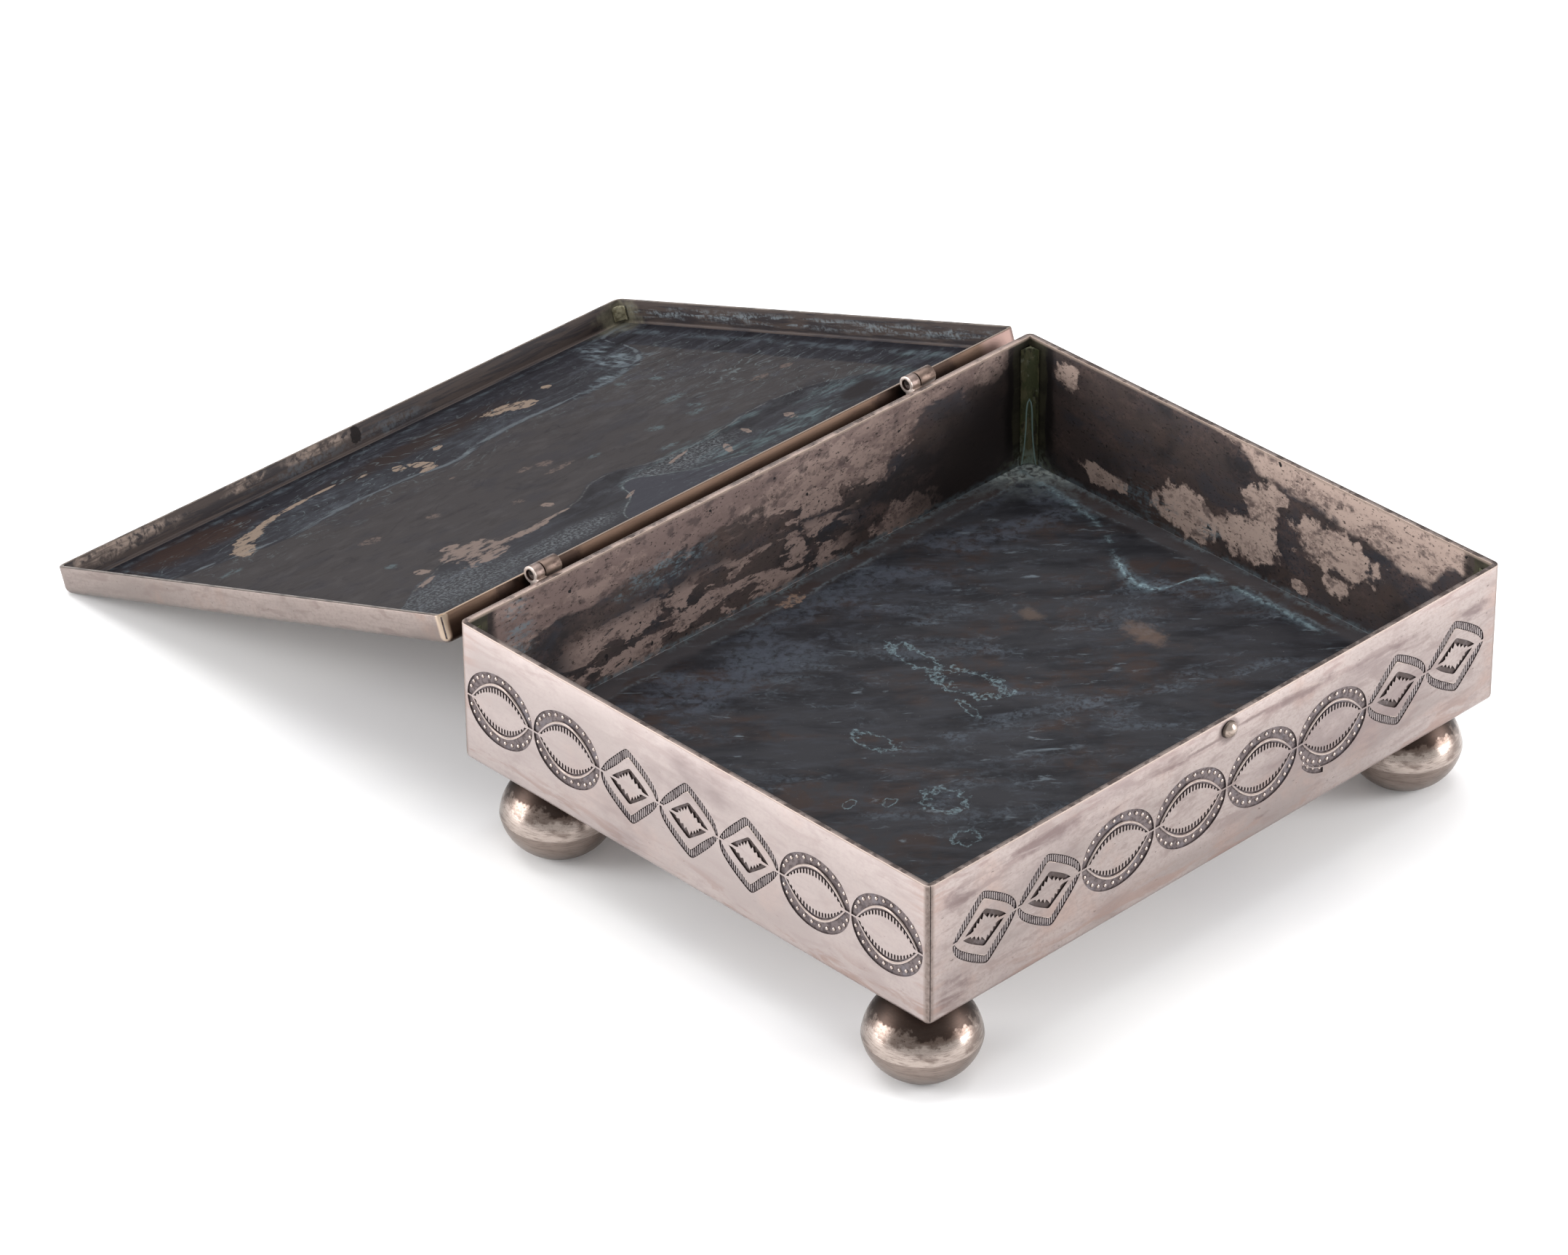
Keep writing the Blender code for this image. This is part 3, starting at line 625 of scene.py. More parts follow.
def bow(half, foot, rise, count=36):
    """A flatter arc over the same middle, from right to left, its ends at a height foot."""
    shares = [1 - 2 * i / count for i in range(count + 1)]
    return [(half * share, foot + (rise - foot) * (1 - share * share)) for share in shares]


def crescent(length):
    """Sunk outlines of the crescent punch: a beaded band, and under its ridge a groove with a comb."""
    half = half_of(length)
    rise = row_height / 2 - strike_gap / 2
    band = half_oval(half, rise) + bow(half - band_width, 0, ridge_rise + ridge_half)[::-1]
    comb = bow(half - groove_in, 0, ridge_rise - ridge_half)
    root = bow(half - slot_root_in, 0, lens_rise + slot_reach, 2 * slot_count)
    tooth = bow(half - slot_tip_in, 0, lens_rise, 2 * slot_count)
    for i in range(2 * slot_count - 1, 0, -2):
        before, middle, after = root[i + 1], root[i], root[i - 1]
        tip = tooth[i]
        for share, sink in slot_outline:
            side = before if share > 0 else after
            across = Vector(middle).lerp(Vector(side), abs(share))
            across += (Vector(tip) - Vector(middle)) * sink
            comb.append(tuple(across))
    return [band, comb]


def eased(points, steps=3):
    """The same line with smooth bends, by a curve through all of its points."""
    line = [Vector(point) for point in points]
    line = [2 * line[0] - line[1]] + line + [2 * line[-1] - line[-2]]
    result = []
    for p0, p1, p2, p3 in zip(line, line[1:], line[2:], line[3:]):
        for i in range(steps):
            t = i / steps
            result.append(0.5 * (2 * p1 + (p2 - p0) * t + (2 * p0 - 5 * p1 + 4 * p2 - p3) * t ** 2
                                 + (3 * p1 - p0 - 3 * p2 + p3) * t ** 3))
    return [tuple(point) for point in result + [line[-2]]]


def fitted(points, length):
    """Points of the chevron punch, given in millimetres, fitted to its length of the row."""
    stretch = (length - strike_gap) / punch_length
    return [((x - 0.2) * MM * stretch, y * MM) for x, y in points]


chevron_outer = (
    (8.85, 0.05), (8.84, 0.7), (8.54, 1.81), (7.7, 3.06), (6.25, 4.35), (4.17, 5.8), (1.67, 7.25),
    (0.0, 7.98), (-0.8, 7.9), (-1.67, 7.3), (-3.75, 5.4), (-5.83, 3.4), (-7.3, 1.75), (-8.44, 0.05))
chevron_inner = (
    (8.3, 0.05), (7.7, 0.9), (6.67, 1.98), (4.58, 3.5), (2.5, 4.8), (0.63, 5.95), (-0.1, 6.2),
    (-0.7, 5.8), (-1.5, 5.1), (-2.7, 3.9), (-4.8, 2.0), (-7.2, 0.05))
heart_outer = (
    (6.1, 0.1), (5.0, 1.05), (3.54, 2.1), (1.67, 3.2), (0.31, 3.85), (-0.83, 3.2), (-2.08, 2.35),
    (-3.7, 1.2), (-5.1, 0.1))
heart_core = (
    (-3.5, 0.1), (-2.8, 0.35), (-2.8, 1.0), (-2.1, 0.75), (-2.0, 1.75), (-1.35, 1.3), (-1.1, 2.35),
    (-0.5, 1.8), (-0.1, 3.0), (0.5, 2.2), (0.95, 1.6), (1.5, 2.2), (1.8, 1.1), (2.6, 1.45), (2.9, 0.55),
    (3.8, 0.75), (4.0, 0.25), (4.9, 0.1))


def chevron_edges(length):
    """Outer and inner edge of the hatched band of the chevron punch, from right to left."""
    return eased(fitted(chevron_outer, length)), eased(fitted(chevron_inner, length))


def chevron(length):
    """Sunk outlines of the chevron punch: a hatched band, and a heart with a stepped inner edge."""
    outer, inner = chevron_edges(length)
    heart = eased(fitted(heart_outer, length))
    return [outer + inner[::-1], heart + fitted(heart_core, length)]


def meshed(name, sketch):
    """Mesh piece made of a curve."""
    piece = bpy.data.objects.new(name, sketch)
    bpy.context.collection.objects.link(piece)
    take(piece)
    bpy.ops.object.convert(target="MESH")
    return piece


def flat_mesh(name, outlines, thickness):
    """Flat outlines filled and thickened to both sides, as a welded mesh."""
    sketch = bpy.data.curves.new(name, "CURVE")
    sketch.dimensions = "2D"
    sketch.fill_mode = "BOTH"
    sketch.extrude = thickness / 2
    for outline in outlines:
        spline = sketch.splines.new("POLY")
        spline.points.add(len(outline) - 1)
        for point, (x, y) in zip(spline.points, outline):
            point.co = (x, y, 0, 1)
        spline.use_cyclic_u = True
    piece = meshed(name, sketch)
    weld(piece, point_gap)
    return piece


def wire(name, points, radius):
    """A bright ridge: a thin round wire laid along points, drawn out to nothing at its ends."""
    sketch = bpy.data.curves.new(name, "CURVE")
    sketch.dimensions = "3D"
    sketch.bevel_depth = radius
    sketch.bevel_resolution = 1
    sketch.use_fill_caps = True
    spline = sketch.splines.new("POLY")
    spline.points.add(len(points) - 1)
    for i, (x, y, z) in enumerate(points):
        spline.points[i].co = (x, y, z, 1)
        spline.points[i].radius = max(math.sin(math.pi * i / (len(points) - 1)) ** 0.6, 0.15)
    return meshed(name, sketch)


def struck(name, pieces, x, drop, turned):
    """Joins what one strike leaves and moves it along the row, turned half round for the second strike."""
    piece = join(name, pieces)
    piece.rotation_euler = (0, 0, math.pi if turned else 0)
    piece.location = (x, (-strike_gap if turned else strike_gap) / 2 - drop, 0)
    return settle(piece)


stamped_ground = Patina("stamped_ground", (108, 98, 98), 0.5, metallic=0.8)
ground_grain = stamped_ground.cloud(0.8, 5)
stamped_ground.lay((80, 71, 72), ground_grain.edge(0.44, 0.62), 0.6)
stamped_ground.lay((120, 116, 122), stamped_ground.cloud(3, 3, 5).edge(0.52, 0.7), 0.4, 0.5)
stamped_ground.emboss(ground_grain, 0.03)
stamped_ground = stamped_ground.done()
high_silver = Patina("stamped_high", (188, 174, 166), 0.32)
high_silver.lay((158, 142, 136), high_silver.cloud(1.2, 4).edge(0.5, 0.66), 0.4, 0.6)
high_silver = high_silver.done()
hatch_silver = Patina("stamped_hatching", (154, 145, 144), 0.38)
hatch_silver.lay((112, 103, 104), hatch_silver.cloud(1.4, 4).edge(0.48, 0.64), 0.5)
hatch_silver = hatch_silver.done()
heart_ground = Patina("heart_ground", (74, 64, 62), 0.5, metallic=0.8)
heart_ground.lay((108, 99, 100), heart_ground.cloud(2.2, 5).edge(0.5, 0.66), 0.42, 0.7)
heart_ground.emboss(heart_ground.cloud(0.8, 5), 0.03)
heart_ground = heart_ground.done()


def crescent_relief(length, beads=range(bead_count)):
    """What stands up in a crescent: a row of beads in the band, and the ridge under it."""
    half = half_of(length)
    pieces = []
    for i in beads:
        angle = math.pi * (0.09 + 0.82 * i / (bead_count - 1))
        bpy.ops.mesh.primitive_uv_sphere_add(
            segments=10, ring_count=6, radius=bead_radius, scale=(0.92, 1.12, 0.75),
            location=((half - bead_in) * math.cos(angle), bead_rise * math.sin(angle), -stamp_depth * 0.95))
        pieces.append(made_of(bpy.context.object, high_silver))
    if len(beads) == bead_count:
        ridge = [(x, y, -ridge_sink) for x, y in bow(half - ridge_in, ridge_half, ridge_rise, 30)]
        pieces.append(made_of(wire("ridge", ridge, ridge_radius), high_silver))
    return pieces


def level_at(sides, x):
    """Height of a chevron side at a station along it."""
    for (x0, y0), (x1, y1) in zip(sides, sides[1:]):
        if min(x0, x1) <= x <= max(x0, x1) and x0 != x1:
            return y0 + (y1 - y0) * (x - x0) / (x1 - x0)
    return 0.0


def chevron_relief(length):
    """What stands up in a chevron: upright hatching in the band, and a bright lip along its inner edge."""
    half = half_of(length)
    outer, inner = chevron_edges(length)
    bars = []
    count = int(2 * half / hatch_pitch)
    width = hatch_pitch * 0.27
    for i in range(1, count):
        x = -half + 2 * half * i / count
        low = level_at(inner, x) + hatch_foot
        high = level_at(outer, x) - hatch_head
        if high - low > shortest_hatch:
            bars.append([(x - width, low), (x + width, low), (x + width, high), (x - width, high)])
    hatching = flat_mesh("hatching", bars, stamp_depth * 0.8)
    hatching.location.z = -stamp_depth * 0.75
    lip = wire("lip", [(x, y - lip_in, -lip_sink) for x, y in inner], lip_radius)
    return [made_of(settle(hatching), hatch_silver), made_of(lip, high_silver)]


for i, material in enumerate((tray_outside, tarnish_walls, tray_rim, tarnish_floor)):
    tray.data.materials[i] = material

for quarter, wall_name in enumerate(("front", "right", "back", "left")):
    if quarter % 2:
        wall_length, distance = box_size.y, box_size.x / 2
        kinds, left_margin, right_margin = "OODDDOO", 1.6 * MM, 1.4 * MM
    else:
        wall_length, distance = box_size.x, box_size.y / 2
        kinds, left_margin, right_margin = "DDOOOODD", 6.0 * MM, 4.0 * MM
    shares = [oval_share if kind == "O" else 1.0 for kind in kinds]
    unit = (wall_length - left_margin - right_margin) / sum(shares)
    angle = quarter * math.pi / 2
    face_middle = (box_middle.x + distance * math.sin(angle),
                   box_middle.y - distance * math.cos(angle), row_middle)
    station = -wall_length / 2 + left_margin
    sunk = []
    raised = []
    for i, (kind, share) in enumerate(zip(kinds, shares)):
        length = unit * share
        middle = station + length / 2
        station += length
        for turned in (False, True):
            if kind == "O":
                band, inside = crescent(length)
                relief, inner_ground = crescent_relief(length), stamped_ground
            else:
                band, inside = chevron(length)
                relief, inner_ground = chevron_relief(length), heart_ground
            cut = [made_of(flat_mesh("sunk", [band], cut_depth), stamped_ground),
                   made_of(flat_mesh("sunk", [inside], cut_depth), inner_ground)]
            sunk.append(struck("sunk", cut, middle, 0, turned))
            raised.append(struck("raised", relief, middle, 0, turned))
        if wall_name == "front" and i == slipped_stamp:
            slip = [(x, y) for x, y in half_oval(length / 2, row_height / 2) if slip_start < x < slip_end]
            slip += [(x, y - slip_width) for x, y in reversed(slip)]
            cut = made_of(flat_mesh("sunk", [slip], cut_depth), stamped_ground)
            sunk.append(struck("sunk", [cut], middle, slip_drop, True))
            beads = crescent_relief(length, slip_beads)
            raised.append(struck("raised", beads, middle, slip_bead_drop, True))
    punch = join("punch_" + wall_name, sunk)
    row = join("row_" + wall_name, raised)
    for piece in (punch, row):
        piece.rotation_euler = (math.pi / 2, 0, angle)
        piece.location = face_middle
        settle(piece)
    merge(tray, punch, crossing=wall_name == "front")
    smooth(row, 50)
    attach(row, "box")

seam_in = 0.62 * MM
seam_size = (0.12 * MM, 0.8 * MM, box_size.z * 1.1)
for x, y, turn in ((box_low.x + seam_in, box_low.y, 0), (box_high.x, box_low.y + seam_in, math.pi / 2),
                   (box_high.x - seam_in, box_high.y, 0), (box_low.x, box_high.y - seam_in, math.pi / 2)):
    merge(tray, made_of(block(seam_size, (x, y, box_middle.z), turn), stamped_ground))
smooth(tray, 30)
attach(tray, "box")
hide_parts("box_tray")


# Solder in the four inner corners of the box: a concave run of hard solder, gone olive green and crusty
# with verdigris where flux was left in it.
run_gap = 0.3 * MM
run_toe = 0.1 * MM
run_ease = 0.12 * MM
hollow_steps = 8
heel_steps = 6


def corner_run(name, material, leg, heel, low, high):
    """Run of solder up an inner corner at the origin, a gap off its walls, which run along +x and +y."""
    hollow = leg - run_gap - run_toe
    outline = [(leg, run_gap)]
    for i in range(hollow_steps + 1):
        angle = -math.pi / 2 - math.pi / 2 * i / hollow_steps
        outline.append((leg + hollow * math.cos(angle), leg + hollow * math.sin(angle)))
    outline.append((run_gap, leg))
    for i in range(heel_steps + 1):
        angle = math.pi + math.pi / 2 * i / heel_steps
        outline.append((run_gap + heel + heel * math.cos(angle), run_gap + heel + heel * math.sin(angle)))
    run = flat_mesh(name, [outline], high - low)
    run.location.z = (low + high) / 2
    settle(run)
    ease(run, run_ease, 2, lambda edge: abs(edge.calc_face_angle() - math.pi / 2) < 0.3)
    return made_of(run, material)


verdigris = Patina("verdigris_solder", (86, 84, 62), 0.6, metallic=0.1, origin=inner_corner, gloss=0.2)
crust_grain = verdigris.cloud(2.4, 6, 0, (1, 1, 2.2))
verdigris.lay((62, 66, 44), crust_grain.edge(0.42, 0.58))
verdigris.lay((112, 114, 100), verdigris.cloud(1.6, 6, 12).edge(0.56, 0.68), 0.75, 0.7)
verdigris.lay((130, 146, 138), verdigris.z.edge(6.5, 0.5), 0.75, 0.7, 1.6)
verdigris.lay((36, 32, 28), verdigris.cloud(1.4, 5, 30, (1, 1, 3)).edge(0.52, 0.64), 0.6, 0.8)
across = inner_length - verdigris.x - (inner_depth - verdigris.y)
loop_width = verdigris.z.line([(0, 2.2), (5, 1.3), (9, 0.95), (13, 0.8), (15, 0.5), (16, 0), (30, 0)],
                              inner_height, 4)
loop_off = abs(abs(across) - loop_width)
verdigris.lay((132, 158, 156), loop_off.edge(0.3, 0.1) * verdigris.z.edge(16.2, 15.6), 0.7, 0.7)
verdigris.emboss(crust_grain, 0.18)
verdigris = verdigris.done()
corners = {"front_left": (0, 0), "front_right": (1, 0), "back_right": (1, 1), "back_left": (0, 1)}
for quarter, (corner, (right, back)) in enumerate(corners.items()):
    low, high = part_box("box_solder_" + corner)
    run = corner_run("solder_" + corner, verdigris, leg=3.0 * MM, heel=0.1 * MM, low=low.z, high=high.z)
    run.rotation_euler.z = quarter * math.pi / 2
    run.location = (box_high.x - box_sheet if right else box_low.x + box_sheet,
                    box_high.y - box_sheet if back else box_low.y + box_sheet, 0)
    smooth(settle(run), 40)
    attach(run, "box")
    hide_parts("box_solder_" + corner)


# The four ball feet: each is two domes spun from sheet and soldered together a little below the middle, their
# crown filed flat to sit under the tray. Polished below; the ragged dark top is part tarnish, part painted
# shade.
foot_radius = 11.6 * MM
foot_crease = math.radians(7)
foot_waist = 7.9 * MM
foot_seam = 0.01 * MM
foot_top = 17.2 * MM
crease_in = 0.35 * MM
upper_filed = 1.05 * MM
lower_filed = 1.15 * MM
dome_gap = 0.01 * MM
dome_steps = 14


def dome(name, seat, filed, up):
    """Half of a ball foot, its seam at z = 0, turned from an arc by spinning it round the z axis.

    The arc starts a little above the ball's equator, so that the two halves meet at a faint crease.
    """
    end = math.asin(seat / (seat + filed))
    low = math.sin(foot_crease)
    points = [(0, seat)]
    for i in range(dome_steps + 1):
        angle = foot_crease + (end - foot_crease) * (1 - i / dome_steps)
        points.append((foot_radius * math.cos(angle) / math.cos(foot_crease),
                       seat * (math.sin(angle) - low) / (math.sin(end) - low)))
    points += [(foot_radius - crease_in, 0), (0, 0)]
    side = 1 if up else -1
    data = bpy.data.meshes.new(name)
    data.from_pydata([(x, 0, side * z) for x, z in points], [(i, i + 1) for i in range(len(points) - 1)], [])
    piece = bpy.data.objects.new(name, data)
    bpy.context.collection.objects.link(piece)
    take_all_of(piece)
    bpy.ops.mesh.spin(steps=64, angle=2 * math.pi, center=(0, 0, 0), axis=(0, 0, 1))
    weld(piece, dome_gap)
    return piece


def ball_finish(name, centre):
    """Polished ball with fine turned scratches and a ragged dark top, about its own middle."""
    ball = Patina(name, (172, 159, 151), 0.2, origin=centre)
    rub = ball.cloud(5, 7, 0, (1.6, 1.6, 0.5), 0.4)
    ball.lay((106, 92, 85), rub.edge(0.46, 0.64), 0.28, 0.8)
    below = ball.z.edge(0.1, -0.1)
    ball.lay((136, 122, 114), below, 0.36, 0.75)
    lines = ball.cloud(0.5, 7, 9, (5, 5, 0.5))
    ball.lay((96, 82, 76), lines.edge(0.46, 0.66), 0.36, 0.5)
    # Painted shade: darker towards the bottom of the ball, just above the table.
    ball.lay((100, 86, 79), ball.z.edge(-3, -7.5), 0.4, 0.75)
    # The ragged dark top is partly tarnish and partly painted shade: the box's dark underside as the ball
    # shows it.
    ragged = ball.cloud(2.4, 10, 14, warp=0.3)
    height = ragged.times(7, ball.z)
    ball.lay((86, 72, 65), height.edge(6.6, 8), 0.32, 0.75)
    ball.lay((48, 38, 34), height.edge(8.3, 9.3), 0.4, 0.9)
    freckles = ball.cloud(0.45, 4, 50).edge(0.58, 0.66) * height.edge(5.4, 8.4)
    ball.lay((66, 52, 46), freckles, 0.4, 0.8)
    ball.emboss(lines, 0.01)
    return ball.done()


for corner in corners:
    low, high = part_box("foot_" + corner + "_upper_dome")
    middle = (low + high) / 2
    finish = ball_finish("ball_" + corner, (middle.x, middle.y, foot_waist))
    for half, seat, filed in (("upper", foot_top - foot_waist - foot_seam, upper_filed),
                              ("lower", foot_waist - foot_seam, lower_filed)):
        up = half == "upper"
        shell = dome("foot_" + corner + "_" + half, seat, filed, up)
        shell.location = (middle.x, middle.y, foot_waist + (foot_seam if up else -foot_seam))
        smooth(made_of(settle(shell), finish), 35)
        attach(shell, "box")
        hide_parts("foot_" + corner + "_" + half + "_dome")


# The bead by which the lid is held shut: a small silver ball flattened at the back and soldered under the rim
# of the front wall. The dark ring round it on the wall is painted shade.
bead_low, bead_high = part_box("catch_bead")
bead_middle = (bead_low + bead_high) / 2
bead_ball = 1.9 * MM
bead_back = bead_high.y + 0.03 * MM
bpy.ops.mesh.primitive_uv_sphere_add(
    segments=40, ring_count=24, radius=bead_ball, rotation=(math.pi / 2, 0, 0),
    location=(bead_middle.x, bead_low.y + bead_ball, bead_middle.z))
bead = settle(bpy.context.object)
bead.name = "bead"
take_all_of(bead)
bpy.ops.mesh.bisect(plane_co=(0, bead_back, 0), plane_no=(0, 1, 0), use_fill=True, clear_outer=True)
let_go()
bead_metal = Patina("bead_silver", (168, 153, 143), 0.26, origin=(bead_middle.x, bead_low.y, bead_middle.z))
bead_metal.lay((120, 104, 94), bead_metal.cloud(1.2, 5).edge(0.5, 0.64), 0.35, 0.7)
# Painted shade: the bead is laid darker towards its back, where it meets the wall.
bead_metal.lay((92, 82, 76), bead_metal.y.edge(0.75, 1.15), 0.5)
smooth(made_of(bead, bead_metal.done()), 40)
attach(bead, "box")
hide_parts("catch_bead")


# The lid: a shallower tray of thinner sheet, lying open on its back behind the box. Its skirts are pinkish
# silver outside and brown at the hinge; inside is a matte brown-grey plate between two dark washes with wavy
# edges, flakes of clean metal and teal bloom.
hinge = Vector(frame["joints"][0]["pos_m"])
slope = math.radians(19.202)
lid_low, lid_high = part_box("lid_tray")
lid_sheet = 1.0 * MM
lid_length = lid_high.x - lid_low.x
lid_depth = 129.0 * MM
lid_height = 6.3 * MM
lid_near = 2.5 * MM
lid_under = -6.45 * MM
lid_corner_bend = 2.0 * MM
lid_fold = 1.8 * MM


def lay_open(piece):
    """Turns a piece made round the hinge line with the lid level into the place of the open lid."""
    settle(piece)
    piece.rotation_euler.x = -slope
    piece.location = hinge
    return settle(piece)


lid = folded_tray("lid", Vector((lid_length, lid_depth, lid_height)), lid_sheet, lid_corner_bend, lid_fold)
lid.location = ((lid_low.x + lid_high.x) / 2 - hinge.x, lid_near + lid_depth / 2, lid_under)
settle(lid)
lid_corner = Vector((lid_low.x, hinge.y, hinge.z))
lid_far = (lid_near + lid_depth) / MM
lid_width = lid_length / MM
lid_floor = -5.45
plate = Patina("tarnish_lid", (77, 73, 74), 0.5, metallic=0.0, origin=lid_corner, tilt=slope, share=0.42,
               gloss=0.01)
down = lid_far - plate.y


def marks(rows, *look):
    """Spots on the lid's inside as one mask.

    A row says where: along the lid, in from its outer edge, half a length, half a depth and maybe a turn.
    """
    spots = []
    for along, from_outer, length, depth, *turn in rows:
        place = (along, lid_far - from_outer, lid_floor)
        spots.append(plate.spot(place, (length, depth, 9), *look, (0, 0, sum(turn))))
    return any_of(spots)


mottle = plate.cloud(12, 6, 2)
plate.lay((66, 64, 69), mottle.edge(0.5, 0.66), 0.46, 0.6)
plate.lay((84, 84, 92), plate.cloud(8, 7, 25).edge(0.52, 0.68) * plate.x.edge(95, 125), 0.55, 0.6)
plate.lay((90, 86, 87), plate.cloud(5, 10, 230, (1.6, 1, 1), 0.3).edge(0.5, 0.68), strength=0.5)
plate.lay((62, 58, 58), plate.cloud(3, 10, 260, (2.2, 0.8, 1)).edge(0.5, 0.68), strength=0.45)
edge_wobble = plate.cloud(3, 5, 61).times(2, -1)
upper_curve = plate.x.line(
    [(0, 18), (12, 25), (28, 31), (36, 33.5), (50, 32), (62, 32), (70, 33.5), (80, 36.5), (88, 34), (100, 32),
     (112, 33), (122, 34), (136, 31), (141, 27), (146, 17), (149, 6), (159, 4)], lid_width, 60)
upper_off = down - upper_curve + edge_wobble
lower_curve = plate.x.line(
    [(0, 108), (14, 99), (22, 93), (27, 91), (33, 88), (50, 92), (65, 91), (80, 84), (90, 90), (105, 91),
     (120, 88), (133, 91), (140, 98), (150, 112), (159, 116)], lid_width, lid_far)
lower_off = lower_curve - down + edge_wobble
side_off = 146.5 - plate.x + edge_wobble
washed_up = upper_off.edge(0.5, -0.3)
washed_down = lower_off.edge(0.5, -0.3)
washed = washed_up | washed_down | side_off.edge(0.6, -0.6)
plate.lay((52, 51, 57), washed, 0.4, 0.95)
streaks = plate.cloud(5, 6, 40, (5, 0.8, 1), 0.5)
plate.lay((78, 80, 88), washed * streaks.edge(0.46, 0.66), 0.42, 0.8, 2)
plate.lay((36, 34, 38), washed * streaks.edge(0.42, 0.3), 0.36, 0.8)
plate.lay((36, 34, 39), lower_off.band(-8, -1.2, 1) * plate.x.band(56, 138, 6), 0.4, 0.8, 4)
plate.lay((68, 55, 52), washed_up * marks([(27, 10, 15, 6.5)], 0.3, 0.5, 5), 0.44)
plate.lay((64, 52, 48), washed_up * marks([(88, 15, 22, 4)], 0.4, 0.6, 5), 0.44, 0.7)
veil = plate.cloud(2.4, 8, 6, (1.6, 1, 1), 0.3).edge(0.36, 0.72)
dome_haze = marks([(53, 25, 19, 7.5)], 0.25, 0.4, 4) | marks([(93, 27, 12, 6)], 0.4, 0.6, 4)
plate.lay((98, 104, 112), washed_up * dome_haze * veil, 0.55, 0.45)
plate.lay((128, 136, 142), upper_off.band(-2, -0.4, 0.5) * streaks.edge(0.44, 0.56), 0.5, 0.6)
speckle = plate.cloud(0.5, 8, 18, (1.2, 1.6, 1)).edge(0.4, 0.7)
specked = marks([(22, 104, 15, 9)], 0.3, 0.6, 4) | marks([(48, 107, 16, 4), (92, 97, 14, 6)], 0.4, 0.6, 4)
plate.lay((150, 156, 160), washed_down * speckle * specked, 0.6, 0.7)
arrow_curve = plate.x.line(
    [(0, 125), (58, 119), (64, 110), (72, 103), (79, 94), (83, 99), (88, 106), (96, 111), (104, 125),
     (159, 125)], lid_width, lid_far)
arrow_off = down - arrow_curve
plate.lay((72, 72, 80), arrow_off.edge(-0.4, 0.4), 0.5, 0.9)
arrow_glow = arrow_off.band(-1.8, -0.2, 1) * plate.x.band(60, 100, 3) * streaks.edge(0.42, 0.62)
plate.lay((112, 126, 130), arrow_glow, 0.6, 0.6, 1.4)
plate.lay((158, 166, 168), arrow_off.band(-0.9, -0.4, 0.3) * plate.x.band(60, 102, 3), 0.6, 0.6, 1.2)
plate.lay((146, 144, 140), lower_off.band(-0.8, -0.4, 0.3) * plate.x.band(18, 140, 3), 0.6, 0.55, 1.6)
teal_bloom = any_of([
    marks([(112, 108, 13, 4), (98, 105, 6, 5), (133, 99, 7, 3.4), (143, 105, 3, 8)], 0.5, 0.6, 3),
    marks([(153, 106, 2, 7)], 0.4, 0.6, 3), marks([(104, 91, 15, 1.6)], 0.6, 0.8, 3)])
bloom_grain = plate.cloud(2.2, 8, 88, (2.4, 0.8, 1), 0.6).edge(0.38, 0.7)
plate.lay((122, 140, 144), teal_bloom * bloom_grain, 0.7, 0.75)
# Lighter haze on the right of the plate: part bloom, part painted sheen.
right_haze_and_sheen = marks([(130, 56, 20, 36)], 0.4, 0.8, 8)
haze_grain = plate.cloud(3, 9, 130, (1.8, 0.8, 1), 0.4).edge(0.42, 0.66)
plate.lay((106, 108, 112), right_haze_and_sheen * haze_grain, 0.55, 0.4, 1.2)
tides = plate.tide(16, 9, 320, (1.6, 0.8, 1), 0.8)
tide_place = marks([(118, 108, 40, 6), (140, 60, 18, 50), (60, 22, 60, 18)], 0.4, 0.8, 8)
plate.lay((142, 154, 158), tides * tide_place, 0.6, 0.65, 2.4)
dark_tides = plate.tide(22, 6, 340, (1.8, 0.8, 1), 0.6)
plate.lay((46, 44, 50), dark_tides, 0.5, 0.5, 3)
plate.lay((52, 48, 50), marks([(133, 107, 6, 3.4, 0.4)], 0.3, 0.3, 3), 0.5)
white_streak = any_of([marks([(141, 12, 3.2, 9, -0.25)], 0.4, 0.6, 4),
                       marks([(130, 30, 11, 2.2, 0.25), (137, 22, 4, 6, -0.5)], 0.5, 0.6, 4)])
plate.lay((134, 146, 154), white_streak * plate.cloud(2, 9, 71, (0.7, 2.4, 1), 0.2).edge(0.4, 0.72), 0.6)
at_skirts = any_of([
    down.band(3, 4.6, 0.7) * plate.x.edge(10, 16),
    plate.x.band(152.5, 155, 0.8) * down.edge(2, 6),
    plate.x.band(11.5, 12.6, 0.5) * down.edge(40, 6)])
rubbed = plate.cloud(2, 8, 66, (1.6, 1.6, 1), 0.6).edge(0.4, 0.68)
plate.lay((108, 118, 126), at_skirts * rubbed, 0.6, 0.6)
flake_grain = plate.cloud(1.6, 7, 99, (1.8, 0.9, 1)).edge(0.38, 0.5)
flakes = marks(
    [(28, 27.5, 2.6, 4.6, -0.5), (33, 22.5, 5, 2.6, 0.5), (41, 18.2, 5.5, 1.3, 0.35), (51, 16, 6, 0.9, 0.1),
     (59.5, 15.4, 3, 0.7), (68, 18, 1.4, 0.7), (73.5, 24, 1.4, 2.6, -0.3), (76.4, 28, 1.6, 4, 0.1),
     (75, 32.4, 2.4, 1.3), (85.5, 22.6, 1.6, 1, 0.6), (107, 18.6, 4.2, 2.6, -0.3), (110.5, 21.5, 3.2, 3.2),
     (120.8, 18, 1.2, 1.4)], 0.3, 0.08, 1.6)
plate.lay((170, 150, 134), flakes * flake_grain, 0.42, 0.85)
